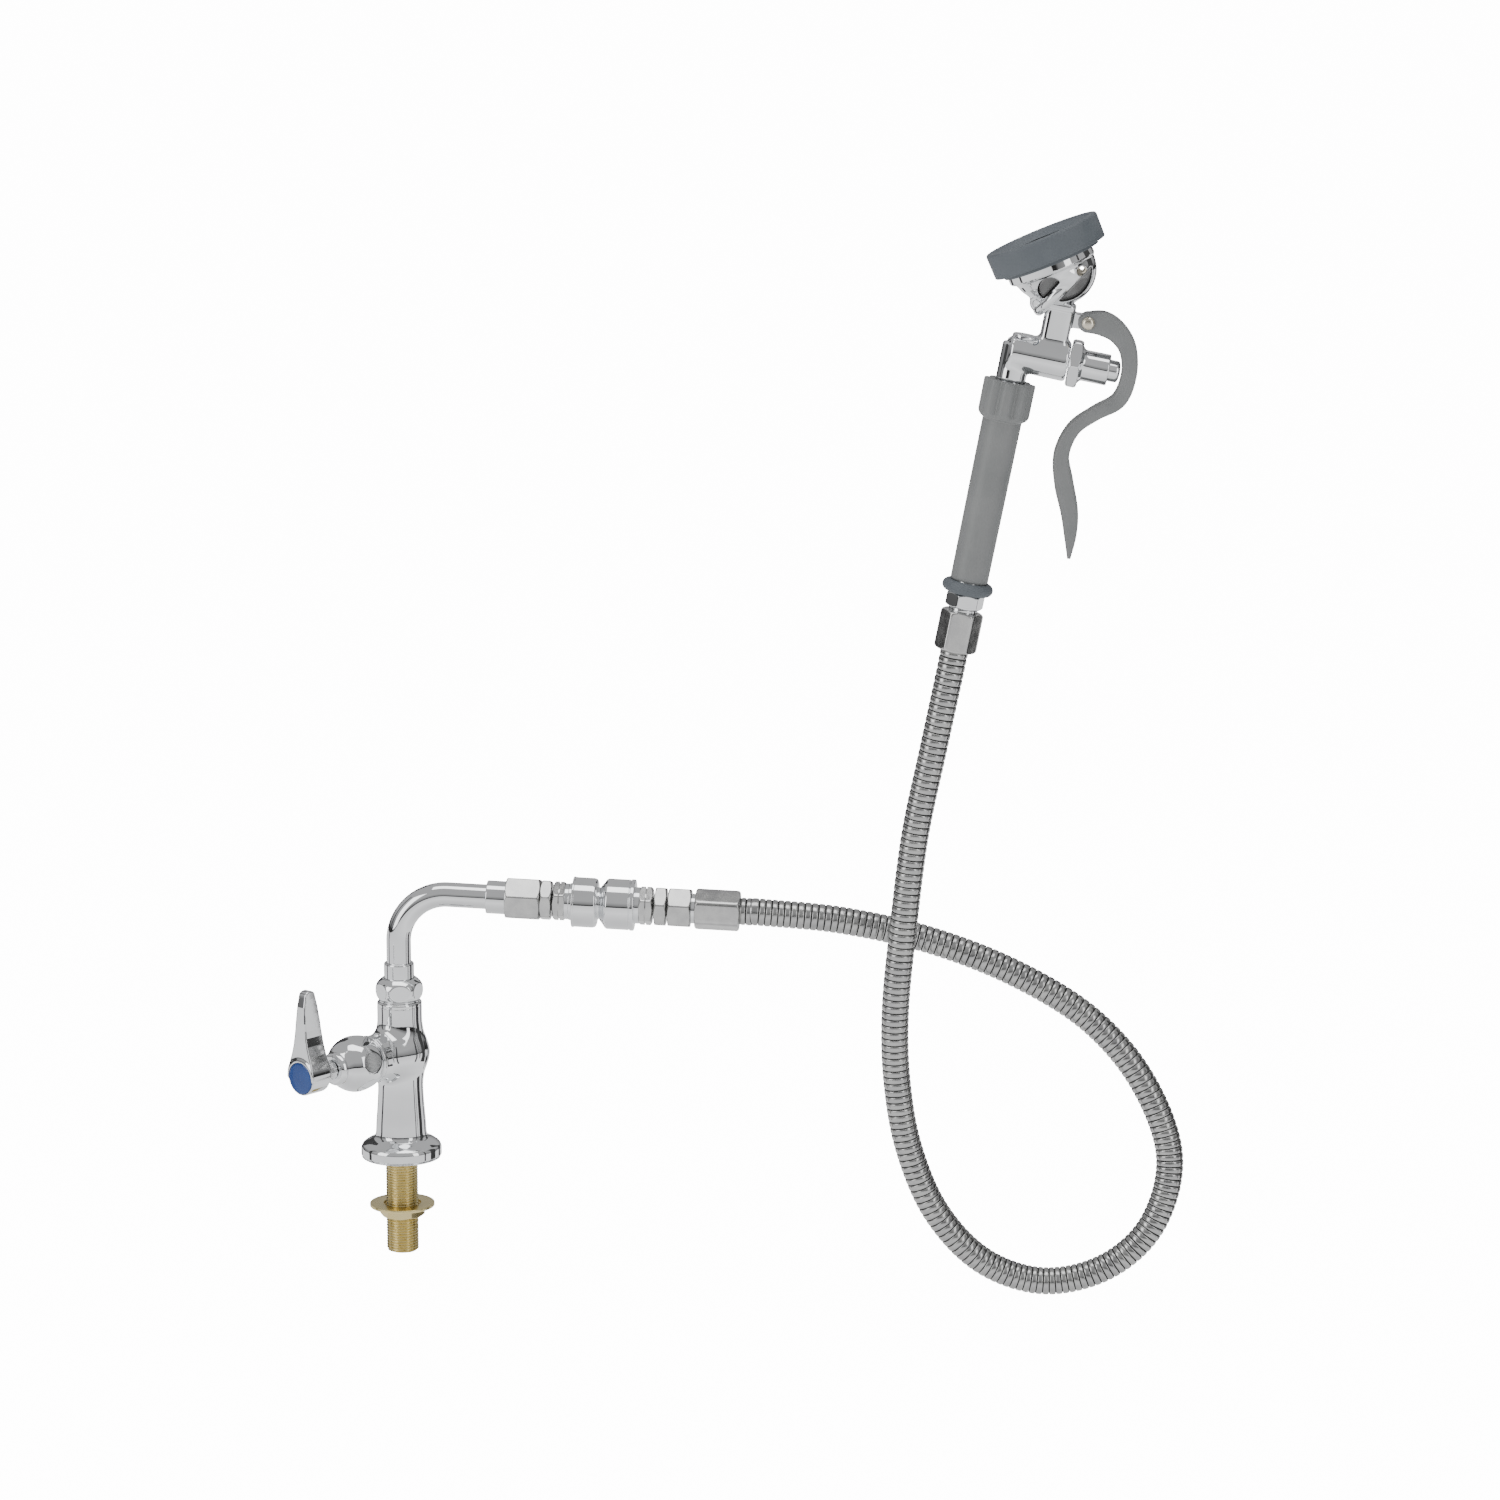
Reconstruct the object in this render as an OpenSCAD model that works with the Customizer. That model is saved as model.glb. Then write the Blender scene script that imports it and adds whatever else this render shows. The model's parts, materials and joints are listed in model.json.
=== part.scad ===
// Pre-rinse faucet for a deck: a single valve body with a side handle, a swivel arm,
// an inline check valve, an armoured hose in one loop and a hand spray valve.
// Millimetres, +Z up, +X along the arm. The origin is on the shank's axis, at the
// underside of the base flange, where it meets the deck.

/* [Base and shank] */
// Radius of the base flange
flange_r = 26; // [25:0.5:28]
// Outer radius of the mounting shank
shank_r = 10.4; // [10.3:0.05:10.5]
// Length of shank below the deck plane
shank_drop = 63; // [58:1:90]
// Height of the deck washer's top face, below the deck plane
washer_top = -31; // [-36:1:-12]
// Outer radius of the deck washer
washer_r = 21; // [18:0.5:25]
// Locknut width across its corners
nut_corners = 29.6; // [28:0.2:32]

/* [Valve] */
// Height of the valve axis above the deck
valve_z = 70; // [69:0.5:71]
// Direction in which the valve stem points, in degrees from +X
valve_dir = 233; // [220:1:250]
// Widest radius of the bonnet
bonnet_r = 17.8; // [17:0.2:19]
// Radius of the handle's hub
hub_r = 11.3; // [11:0.1:12]
// Height of the handle's tip above the valve axis
handle_len = 56; // [50:1:70]

/* [Swivel arm] */
// Outside radius of the arm tube
tube_r = 7.95; // [7.8:0.05:8.05]
// Bore radius of the arm tube
tube_bore_r = 6.6; // [6:0.1:7]
// Radius of the arm's bend, along its centre
bend_r = 31; // [28:1:40]
// Height at which the bend starts
bend_z = 143.1; // [140:0.1:160]
// Angle by which the arm falls below the horizontal
arm_drop = 2.4; // [0:0.1:4]

/* [Check valve] */
// Radius of the inlet housing
housing_r = 16.25; // [15.5:0.25:17]

/* [Hose] */
// Outside radius of the hose's steel armour
hose_r = 8.9; // [8:0.1:9.5]
// Outside radius of the rubber liner inside it
liner_r = 6.1; // [5:0.1:6.2]

/* [Spray valve] */
// Angle by which the grip leans towards the lever side
grip_tilt = 11; // [8:0.5:14]
// Length of the grip
grip_len = 127; // [120:1:127]
// Radius of the grip under its head
grip_r = 12.35; // [12:0.05:13]
// Radius of the grip's fluted head
grip_head_r = 16; // [15:0.25:17]
// Radius of the spray valve's barrel
barrel_r = 12.4; // [12:0.1:13]
// Outside radius of the rubber bumper
bumper_r = 36; // [34:0.5:38]
// Angle between the spray face's axis and the grip
head_tilt = 33.5; // [25:0.5:40]
// Width of the squeeze lever
lever_w = 16; // [14:1:18]

/* [Hidden] */
$fn = 64;

// Plumbing sizes that several pieces share
thread_r = 9;
waterway_r = 6.6;
// Hexagons 1 inch and 15/16 inch across flats, given across their corners
hex_large = 29.3;
hex_small = 27.5;
// Radial gap of the running fits
running = 0.06;

// Base: the shank's socket in the body, and the waterway
shank_socket = 14;
shank_bore_r = 6.8;
washer_t = 2;
washer_hole_r = 12;
nut_top = washer_top - washer_t - 0.1;
nut_t = 6.6;
relief_w = 1.2;

// Valve, along the stem axis from the body's centre line
boss_r = 15;
boss_end = 29.5;
nose_r = 13.5;
nose_end = 37;
cavity_r = 11.6;
inlet_port_r = 5.5;
outlet_port_r = 3.6;
seat_end = 8.5;
stem_r = 5;
disc_r = 7.7;
bonnet_end = 57;
collar_end = 61.5;
hub_start = 73;
hub_end = 89;

// Packing nut and the arm's swivel joint
body_top = 104;
spigot_top = 108;
spigot_top_r = 12.6;
socket_r = 9.8;
collar_r = socket_r - 0.05;
socket_floor = 92;
nut_shoulder = 111;
packing_top = 119;
collar_top = 129;

// Where the arm's straight run starts, after the bend and a short lead
arm_lead = 25;
bend_steps = 16;
arm_x = bend_r * (1 - cos(90 + arm_drop)) + arm_lead * sin(90 + arm_drop);
arm_z = bend_z + bend_r * sin(90 + arm_drop) + arm_lead * cos(90 + arm_drop);

// Places along the arm, from the start of its end sleeve
sleeve_end = 12.4;
coupling_end = 34.7;
nipple_end = 41.9;
adapter_start = 42.9;
adapter_end = 51;
housing_start = 55.2;
housing_end = 71.3;
cone_start = 73;
outlet_start = 75.3;
outlet_end = 95.2;
outlet_adapter_start = 98;
outlet_adapter_end = 106.7;
outlet_nipple_start = 108;
outlet_nipple_end = 115.5;
hose_nut_start = 116.6;
hose_nut_end = 131.2;
ferrule_start = 133.8;
ferrule_end = 162.4;
spigot_r = 12;
inlet_spigot_end = 60;
first_wall = 68.3;
second_wall = 88.5;
second_wall_end = 91.5;
poppet_r = 8.5;
poppet_stem_r = 2;

// Spray valve: the grip's top centre, then places along the grip and across it
grip_top = [388.6, -35, 512];
spray_ferrule_low = -171.5;
spray_ferrule_high = -146.3;
ring_u = -131;
barrel_u = 18.5;
plug_v = 3.7;
plug_seat = 26.6;
neck_v = 21;
neck_r = 9.3;
neck_top = 54;
pivot = [39.6, 45.1];
pivot_r = 6.6;
screw_r = 2;
lug_t = 6.4;
bonnet_v = 33;
sleeve_v = 57.8;
button_r = 6.75;
button_v = 52;
rod_r = 3;
// Head: its root on the neck, and places along the spray face's axis
head_root = [25.8, 53.5];
rim_r = 27.5;
rim_end = 42;
face_r = 24;
jet_r = 3.6;
bumper_low = 28.5;
bumper_high = 46.7;
// Round hood behind the spray face, with its hanging eye
hood = [17, 73.5];
hood_r = 21.5;
eye = [29, 76.7];
eye_r = 3;
rim_band = [17.5, 61.1];
rim_band_turn = 121.3;

// Centre line of the squeeze lever, across and up the spray valve, with its half width
lever_line = [
    [39.6, 45.1, 6.4], [49, 46, 7.5], [59, 42, 6.5], [67, 33, 5.5], [70.5, 18, 5],
    [67.5, 2, 5], [55, -9, 4.5], [44, -21, 4.5], [40, -38, 5], [45, -55, 6],
    [52, -72, 5.5], [55.5, -86, 4], [57.5, -100, 1.2]
];

// Hose: the points that its free loop passes through, between its two ferrules
hose_loop = [
    [285, 5, 160], [340, 10, 147], [395, 10, 126], [443, 8, 97], [477, 4, 58],
    [495, 0, 10], [485, -4, -34], [456, -8, -62], [416, -10, -72], [377, -12, -59],
    [347, -14, -27], [329, -17, 16], [321, -20, 62], [320, -25, 110], [325, -30, 166],
    [332, -32, 225], [343, -34, 280]
];
hose_sides = 12;
exit_run = 15;

// A point on the arm's axis, s along it
function arm_point(s) = [arm_x + s * cos(arm_drop), 0, arm_z - s * sin(arm_drop)];

// A point on the grip's axis, u above the grip's top
function grip_point(u) = grip_top + u * [sin(grip_tilt), 0, cos(grip_tilt)];

// A smooth curve through four neighbouring points, between the middle two
function blend(a, b, c, d, t) =
    (2 * b + (c - a) * t + (2 * a - 5 * b + 4 * c - d) * t * t
    + (3 * b - 3 * c + d - a) * t * t * t) / 2;

// A smooth line through all the points p, with n steps from each to the next
function smooth(p, n) = concat(
    [for (i = [0:len(p) - 2], k = [0:n - 1])
        blend(p[max(i - 1, 0)], p[i], p[i + 1], p[min(i + 2, len(p) - 1)], k / n)],
    [p[len(p) - 1]]);

function unit(v) = v / norm(v);

// Direction of the line p at its point i
function heading(p, i) = unit(p[min(i + 1, len(p) - 1)] - p[max(i - 1, 0)]);

// A ring of m points of radius r round the line p at its point i
function ring_at(p, i, r, m, side) =
    let (t = heading(p, i), a = unit(cross(t, side)), b = cross(t, a))
    [for (k = [0:m - 1]) p[i] + r * (cos(360 * k / m) * a + sin(360 * k / m) * b)];

// Wall of a swept skin whose rings start at vertex o
function wall(n, m, o) = [for (i = [0:n - 2], k = [0:m - 1])
    [o + i * m + k, o + (i + 1) * m + k,
     o + (i + 1) * m + (k + 1) % m, o + i * m + (k + 1) % m]];

function flip(faces) = [for (f = faces) [for (k = [len(f) - 1:-1:0]) f[k]]];

// Flat ring that closes one end, between outer ring a and inner ring b
function end_ring(a, b, m) = [for (k = [0:m - 1])
    [a + k, a + (k + 1) % m, b + (k + 1) % m, b + k]];

// Tube of outer radius r and bore radius q swept along the line p
module swept_tube(p, r, q, m, side) {
    n = len(p);
    outer = [for (i = [0:n - 1]) each ring_at(p, i, r, m, side)];
    inner = [for (i = [0:n - 1]) each ring_at(p, i, q, m, side)];
    last = (n - 1) * m;
    polyhedron(points = concat(outer, inner), convexity = 8,
        faces = concat(wall(n, m, 0), flip(wall(n, m, n * m)), end_ring(0, n * m, m),
            flip(end_ring(last, n * m + last, m))));
}

// Wire of radius r swept along the line p
module swept_wire(p, r, m, side) {
    n = len(p);
    polyhedron(points = [for (i = [0:n - 1]) each ring_at(p, i, r, m, side)],
        faces = concat(wall(n, m, 0), [[for (k = [0:m - 1]) k]],
            [[for (k = [m - 1:-1:0]) (n - 1) * m + k]]));
}

// Compression spring from z0 to z1, of mean radius r and wire radius w
module spring(z0, z1, r, w, turns) {
    steps = turns * 10;
    swept_wire([for (i = [0:steps])
        [r * cos(36 * i), r * sin(36 * i), z0 + w + (z1 - z0 - 2 * w) * i / steps]],
        w, 8, [0, 0, 1]);
}

// Place children on the valve axis, z along the stem and -x up
module at_valve() {
    translate([0, 0, valve_z]) rotate([0, 0, valve_dir]) rotate([0, 90, 0]) children();
}

// Place children on the arm's axis, z along it
module at_arm() {
    translate([arm_x, 0, arm_z]) rotate([0, 90 + arm_drop, 0]) children();
}

// Place children on the spray valve, z up the grip and x towards the lever
module at_spray() {
    translate(grip_top) rotate([0, grip_tilt, 0]) children();
}

// Place children across the spray valve, z along the push stem
module at_barrel() {
    at_spray() translate([0, 0, barrel_u]) rotate([0, 90, 0]) children();
}

// Place children on the spray face's axis
module at_head() {
    at_spray() translate([head_root[0], 0, head_root[1]]) rotate([0, -head_tilt, 0])
        children();
}

// Solid of revolution from its half outline, as [radius, height] points
module turned(outline) {
    rotate_extrude() polygon(outline);
}

// Cylinder of radius r between two heights
module cylinder_span(r, z0, z1) {
    translate([0, 0, z0]) cylinder(r = r, h = z1 - z0);
}

// Plain ring between two heights
module ring(outer, inner, z0, z1) {
    translate([0, 0, z0]) difference() {
        cylinder(r = outer, h = z1 - z0);
        translate([0, 0, -1]) cylinder(r = inner, h = z1 - z0 + 2);
    }
}

// O-ring of mean radius r and section radius w at height z
module o_ring(r, w, z) {
    translate([0, 0, z]) rotate_extrude() translate([r, 0]) circle(r = w, $fn = 24);
}

// Hexagonal bar between two heights, c across corners, its ends chamfered
module hex_bar(c, z0, z1, turn = 0) {
    edge = 0.7;
    r = c / 2;
    intersection() {
        translate([0, 0, z0]) rotate([0, 0, turn]) cylinder(r = r, h = z1 - z0, $fn = 6);
        turned([[0, z0], [r - edge * 1.6, z0], [r + 0.1, z0 + edge],
            [r + 0.1, z1 - edge], [r - edge * 1.6, z1], [0, z1]]);
    }
}

// ---- Base -----------------------------------------------------------------

module faucet_body() {
    color("gainsboro") difference() {
        union() {
            turned([[0, 0], [flange_r, 0], [flange_r, 6.5], [25, 9], [22, 11], [18, 13],
                [16.5, 16], [16, 24], [15, 37], [14.5, 48], [15.5, 56], [17.5, 61],
                [19, 67], [19, 72], [17.5, 78], [15.5, 83], [14.5, 89],
                [14.4, body_top], [spigot_top_r, body_top], [spigot_top_r, spigot_top],
                [0, spigot_top]]);
            at_valve() cylinder(r = boss_r, h = boss_end);
            at_valve() cylinder(r = nose_r, h = nose_end);
        }
        translate([0, 0, -1]) cylinder(r = shank_r, h = shank_socket + 1);
        cylinder(r = shank_bore_r, h = valve_z + 5);
        at_valve() cylinder(r = inlet_port_r, h = nose_end);
        at_valve() translate([0, 0, seat_end]) cylinder(r = cavity_r, h = nose_end);
        at_valve() translate([-8, 0, 12]) rotate([0, -127, 0])
            cylinder(r = outlet_port_r, h = 15);
        translate([0, 0, 86]) cylinder(r = 7, h = 20);
        translate([0, 0, socket_floor]) cylinder(r = socket_r, h = 20);
    }
}

// Threaded shank, with a relief groove just inside the locknut's lower face
module mounting_shank() {
    nut_low = nut_top - nut_t;
    color("goldenrod") difference() {
        ring(shank_r, shank_bore_r, -shank_drop, shank_socket);
        ring(shank_r + 1, shank_r - 0.8, nut_low, nut_low + relief_w);
    }
}

module deck_washer() {
    color("goldenrod") ring(washer_r, washer_hole_r, washer_top - washer_t, washer_top);
}

module lock_nut() {
    color("goldenrod") difference() {
        hex_bar(nut_corners, nut_top - nut_t, nut_top);
        translate([0, 0, nut_top - nut_t - 1]) cylinder(r = shank_r, h = nut_t + 2);
    }
}

module packing_nut() {
    color("gainsboro") intersection() {
        turned([[spigot_top_r, body_top], [14.2, body_top], [14.6, 107], [15.1, 112],
            [15, 115.5], [13.2, 118], [10.6, packing_top], [9.85, packing_top],
            [9.85, nut_shoulder], [spigot_top_r, nut_shoulder]]);
        translate([0, 0, body_top]) cylinder(r = 15.9, h = 15, $fn = 6);
    }
}

module swivel_washer() {
    color("dimgray") ring(12.5, 9.9, spigot_top, spigot_top + 1.2);
}

// ---- Valve cartridge ------------------------------------------------------

module valve_bonnet() {
    color("gainsboro") at_valve() intersection() {
        turned([[nose_r, 29.6], [15.6, 29.6], [16.5, 34], [bonnet_r, 40], [17.5, 45],
            [16, 50], [12.5, 55], [10.5, bonnet_end], [8.1, bonnet_end], [8.1, 40],
            [nose_r, 40]]);
        translate([0, 0, 29]) cylinder(r = 18.8, h = 30, $fn = 6);
    }
}

module bonnet_collar() {
    color("gainsboro") at_valve() difference() {
        hex_bar(22, bonnet_end, collar_end);
        translate([0, 0, bonnet_end - 1]) cylinder(r = 8, h = 10);
    }
}

module cartridge_body() {
    color("goldenrod") at_valve() difference() {
        turned([[disc_r + 0.3, 10.5], [9.6, 10.5], [9.6, 22], [11.5, 22],
            [11.5, nose_end], [12.4, nose_end], [12.4, 40], [8, 40], [8, 60.5],
            [stem_r + running, 60.5], [stem_r + running, 21], [disc_r + 0.3, 21]]);
        translate([0, 0, 18]) rotate([90, 0, 0]) cylinder(r = 2.2, h = 30, center = true);
    }
}

module fixed_disc() {
    color("whitesmoke") at_valve() difference() {
        ring(disc_r + 0.3, 0.8, 10.5, 13);
        for (y = [-4.2, 4.2])
            translate([0, y, 10]) cylinder(r = 2.4, h = 4);
    }
}

module turning_disc() {
    color("whitesmoke") at_valve() difference() {
        ring(disc_r, 0.8, 13.05, 15.5);
        for (x = [-4.2, 4.2])
            translate([x, 0, 13]) cylinder(r = 2.4, h = 3);
    }
}

module cartridge_gasket() {
    color("dimgray") at_valve() ring(9.4, 5.6, seat_end, 10.45);
}

module valve_stem() {
    color("gainsboro") at_valve() difference() {
        union() {
            translate([-disc_r + 0.7, -2, 15.5]) cube([2 * disc_r - 1.4, 4, 3.5]);
            turned([[0, 19], [disc_r - 0.1, 19], [disc_r - 0.1, 20.8], [stem_r, 20.8],
                [stem_r, 49.2], [3.7, 49.2], [3.7, 50.6], [stem_r, 50.6],
                [stem_r, 62], [6.2, 62.3], [6.2, 73], [4.5, 73], [4.5, 80], [0, 80]]);
        }
        translate([0, 0, 73]) cylinder(r = 1.9, h = 8);
    }
}

module stem_o_ring() {
    color("dimgray") at_valve() o_ring(4.35, 0.65, 49.9);
}

// ---- Lever handle ---------------------------------------------------------

// Half outline of the blade's front, from the hub to the tip
function blade_front() = [[6, 10.6], [10, 10], [15, 8], [21, 6.2], [31, 4.7],
    [41, 3.9], [51, 3.2], [handle_len - 1.6, 2.6], [handle_len, 1]];

module lever_handle() {
    front = blade_front();
    color("gainsboro") at_valve() {
        difference() {
            cylinder_span(hub_r, hub_start, hub_end);
            cylinder_span(4.5, hub_start - 1, 80);
            cylinder_span(2.1, hub_start, 83);
            cylinder_span(5, 82, 88);
            cylinder_span(10.2, 86.5, 90);
        }
        difference() {
            intersection() {
                translate([0, 0, 60]) linear_extrude(40) polygon(concat(
                    [for (p = front) [-p[0], p[1]]],
                    [for (k = [len(front) - 1:-1:0]) [-front[k][0], -front[k][1]]]));
                rotate([90, 0, 0]) translate([0, 0, -15]) linear_extrude(30)
                    polygon([[0, hub_start], [-24, 73.6], [-36, 74.6], [-46, 76],
                        [-52, 77.5], [-handle_len + 1, 79.5], [-handle_len, 81.5],
                        [-handle_len + 0.6, 84], [-52, 86.5], [-46, 87.8], [-36, 88.6],
                        [-24, hub_end], [0, hub_end]]);
            }
            cylinder_span(hub_r - 0.05, hub_start - 1, hub_end + 1);
        }
    }
}

module handle_screw() {
    color("gainsboro") at_valve() difference() {
        union() {
            cylinder_span(1.9, 74, 82);
            cylinder_span(4, 82, 85);
        }
        translate([-3, -0.5, 84]) cube([6, 1, 2]);
        translate([-0.5, -3, 84]) cube([1, 6, 2]);
    }
}

module index_button() {
    color("royalblue") at_valve() {
        cylinder_span(4.9, 85.2, 86.5);
        turned([[0, 86.5], [10.15, 86.5], [10.15, 89.2], [9.4, 89.8], [0, 90]]);
    }
}

// ---- Swivel arm -----------------------------------------------------------

// Centre line of the arm tube: up the body, round the bend and into the end sleeve
function arm_line() = concat(
    [[0, 0, 93.2], [0, 0, bend_z - 12]],
    [for (k = [0:bend_steps])
        let (a = (90 + arm_drop) * k / bend_steps)
        [bend_r * (1 - cos(a)), 0, bend_z + bend_r * sin(a)]],
    [arm_point(-12), arm_point(10)]);

module arm_tube() {
    color("gainsboro") swept_tube(arm_line(), tube_r, tube_bore_r, 24, [0, 1, 0]);
}

module arm_collar() {
    color("gainsboro") turned([[tube_r, 93.2], [collar_r, 93.2], [collar_r, 95.9],
        [8.6, 95.9], [8.6, 97.1], [collar_r, 97.1], [collar_r, 99.9], [8.6, 99.9],
        [8.6, 101.1], [collar_r, 101.1], [collar_r, 109.3], [12.2, 109.3],
        [12.2, 110.8], [collar_r, 110.8], [collar_r, collar_top - 0.6],
        [collar_r - 0.6, collar_top], [tube_r, collar_top]]);
}

module swivel_o_rings() {
    color("dimgray") for (z = [96.5, 100.5]) o_ring(9.18, 0.58, z);
}

module arm_end_sleeve() {
    color("gainsboro") at_arm() turned([[tube_r, 0], [10.3, 0], [10.65, 0.5],
        [10.65, sleeve_end], [thread_r, sleeve_end], [thread_r, 20], [waterway_r, 20],
        [waterway_r, 10], [tube_r, 10]]);
}

module coupling_hex() {
    color("silver") at_arm() difference() {
        hex_bar(hex_large, sleeve_end, coupling_end, 15);
        cylinder_span(thread_r, sleeve_end - 1, coupling_end + 1);
    }
}

// Hexagon with a male thread at both ends
module nipple(z0, z1, low, high, turn) {
    difference() {
        union() {
            hex_bar(hex_small, z0, z1, turn);
            cylinder_span(thread_r, low, high);
        }
        cylinder_span(waterway_r, low - 1, high + 1);
    }
}

module inlet_nipple() {
    color("silver") at_arm() nipple(coupling_end, nipple_end, 24, 50, 10);
}

module check_inlet_adapter() {
    color("silver") at_arm() difference() {
        union() {
            hex_bar(26, adapter_start, adapter_end);
            cylinder_span(11.5, adapter_end, housing_start);
            cylinder_span(spigot_r, housing_start, inlet_spigot_end);
        }
        ring(14, 12.4, 46.4, 47.4);
        cylinder_span(thread_r, adapter_start - 1, 50);
        cylinder_span(6, 49, inlet_spigot_end + 1);
    }
}

// Wall with a guide hole for a poppet's stem and six flow holes round it
module guide_wall(r, z0, z1, flow_at) {
    difference() {
        cylinder_span(r, z0, z1);
        cylinder_span(poppet_stem_r + running, z0 - 1, z1 + 1);
        for (k = [0:5])
            rotate([0, 0, 60 * k]) translate([flow_at, 0, z0 - 1])
                cylinder(r = 1.9, h = z1 - z0 + 2, $fn = 24);
    }
}

module check_inlet_housing() {
    color("gainsboro") at_arm() {
        turned([[spigot_r, housing_start], [housing_r, housing_start],
            [housing_r, housing_start + 1.4], [housing_r - 0.3, housing_start + 1.8],
            [housing_r - 0.3, 69.6], [housing_r - 0.8, 70.8],
            [housing_r - 2, housing_end], [spigot_r, housing_end]]);
        guide_wall(spigot_r, first_wall, housing_end, waterway_r);
    }
}

module check_vent_ring() {
    color("gainsboro") at_arm() difference() {
        turned([[9.2, housing_end], [10.2, housing_end], [10.2, cone_start],
            [13.5, outlet_start], [9.2, outlet_start]]);
        for (k = [0:7])
            rotate([0, 0, 45 * k]) translate([0, 0, 72.2]) rotate([0, 90, 0])
                cylinder(r = 0.6, h = 14, $fn = 24);
    }
}

module vent_diaphragm() {
    color("dimgray") at_arm() ring(9.1, 3.6, 73, 74.4);
}

module check_outlet_housing() {
    color("gainsboro") at_arm() difference() {
        turned([[0, outlet_start], [13.5, outlet_start], [16.2, 77.6], [16.2, 91.8],
            [16.5, 92.2], [16.5, outlet_end - 0.5], [16, outlet_end], [0, outlet_end]]);
        cylinder_span(6, outlet_start - 1, 80);
        cylinder_span(spigot_r, 79, outlet_end + 1);
    }
}

module check_outlet_adapter() {
    color("silver") at_arm() {
        difference() {
            union() {
                cylinder_span(spigot_r, second_wall_end, outlet_end);
                cylinder_span(11.7, outlet_end, outlet_adapter_start);
                hex_bar(25.4, outlet_adapter_start, outlet_adapter_end);
            }
            ring(14, 12.1, 101.4, 102.4);
            cylinder_span(thread_r, 91, outlet_adapter_end + 1);
        }
        guide_wall(spigot_r, second_wall, second_wall_end, waterway_r);
    }
}

module outlet_nipple() {
    color("silver") at_arm()
        nipple(outlet_nipple_start, outlet_nipple_end, 99, 126, 15);
}

// Check poppet: a disc with a rubber-like face and a guide stem
module poppet(z, stem_end) {
    turned([[0, z], [poppet_r - 0.8, z], [poppet_r, z + 0.8], [poppet_r, z + 1.9],
        [poppet_stem_r, z + 1.9], [poppet_stem_r, stem_end], [0, stem_end]]);
}

module first_check_poppet() {
    color("white") at_arm() poppet(inlet_spigot_end + 0.1, housing_end - 0.5);
}

module second_check_poppet() {
    color("white") at_arm() poppet(79.1, 91);
}

module first_check_spring() {
    color("silver") at_arm() spring(62.1, first_wall - 0.1, 3.4, 0.4, 4);
}

module second_check_spring() {
    color("silver") at_arm() spring(81.1, second_wall - 0.1, 3.4, 0.4, 4);
}

// ---- Hose -----------------------------------------------------------------

module hose_nut() {
    color("silver") at_arm() difference() {
        hex_bar(hex_small, hose_nut_start, hose_nut_end, 15);
        cylinder_span(thread_r, hose_nut_start - 1, 129);
        cylinder_span(8.2, 128, hose_nut_end + 1);
    }
}

module hose_tail() {
    color("gainsboro") at_arm() turned([[4.5, 126.2], [8.8, 126.2], [8.8, 128.6],
        [8.15, 128.6], [8.15, 131.3], [9.6, 131.3], [9.6, ferrule_start],
        [6.3, ferrule_start], [6.3, 158], [4.5, 158]]);
}

// Crimped hexagonal ferrule between two heights, its ends rounded off
module ferrule(z0, z1) {
    r = hex_small / 2;
    difference() {
        intersection() {
            translate([0, 0, z0]) cylinder(r = r, h = z1 - z0, $fn = 6);
            turned([[0, z0], [r - 2.6, z0], [r - 1.1, z0 + 0.6], [r, z0 + 2.4],
                [r, z1 - 2.4], [r - 1.1, z1 - 0.6], [r - 2.6, z1], [0, z1]]);
        }
        cylinder_span(6.3, z0 - 1, z1 + 1);
    }
}

module hose_ferrule_inlet() {
    color("silver") at_arm() ferrule(ferrule_start, ferrule_end);
}

// The hose's centre line, straight out of each ferrule and smooth through its loop
function hose_line() = smooth(concat(
    [for (s = [0, exit_run / 2, exit_run]) arm_point(ferrule_end + s)], hose_loop,
    [for (s = [exit_run, exit_run / 2, 0]) grip_point(spray_ferrule_low - s)]), 2);

module hose_armour() {
    color("silver") swept_tube(hose_line(), hose_r, 6.7, hose_sides, [0, 1, 0]);
}

module hose_liner() {
    color("dimgray") swept_tube(hose_line(), liner_r, 4.6, 8, [0, 1, 0]);
}

module hose_ferrule_spray() {
    color("silver") at_spray() ferrule(spray_ferrule_low, spray_ferrule_high);
}

module hose_swivel_tail() {
    color("gainsboro") at_spray() turned([[4.5, -168], [6.3, -168],
        [6.3, spray_ferrule_high], [9, spray_ferrule_high], [9, -144.3], [8.2, -144.3],
        [8.2, -140.8], [9, -140.8], [9, -139], [4.5, -139]]);
}

// ---- Spray valve grip -----------------------------------------------------

module hose_swivel_nut() {
    color("gainsboro") at_spray() difference() {
        hex_bar(24.5, -144, -135);
        cylinder_span(8.26, -145, -140);
        cylinder_span(9.3, -141, -134);
    }
}

module hose_washer() {
    color("dimgray") at_spray() ring(9.2, 5, -138.9, -137);
}

module grip_ring() {
    color("slategray") at_spray() o_ring(12.15, 3.85, ring_u);
}

module grip() {
    head_low = -22.8;
    color("gray") at_spray() difference() {
        turned([[8.2, -grip_len], [10.9, -grip_len], [11.8, -grip_len + 1],
            [grip_r, head_low - 1.5], [grip_head_r - 2, head_low - 1],
            [grip_head_r, head_low + 2], [grip_head_r, -0.5], [grip_head_r - 0.5, 0],
            [8.2, 0]]);
        for (k = [0:7])
            rotate([0, 0, 45 * k + 22.5]) translate([grip_head_r + 2.4, 0, head_low - 4])
                cylinder(r = 3.9, h = 40, $fn = 24);
    }
}

module handle_tube() {
    color("gainsboro") at_spray() turned([[5.5, -137], [9.3, -137], [9.3, -135.1],
        [8.2, -135.1], [8.2, 0], [7, 0], [7, 9], [5.5, 9]]);
}

// ---- Spray valve body -----------------------------------------------------

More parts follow.
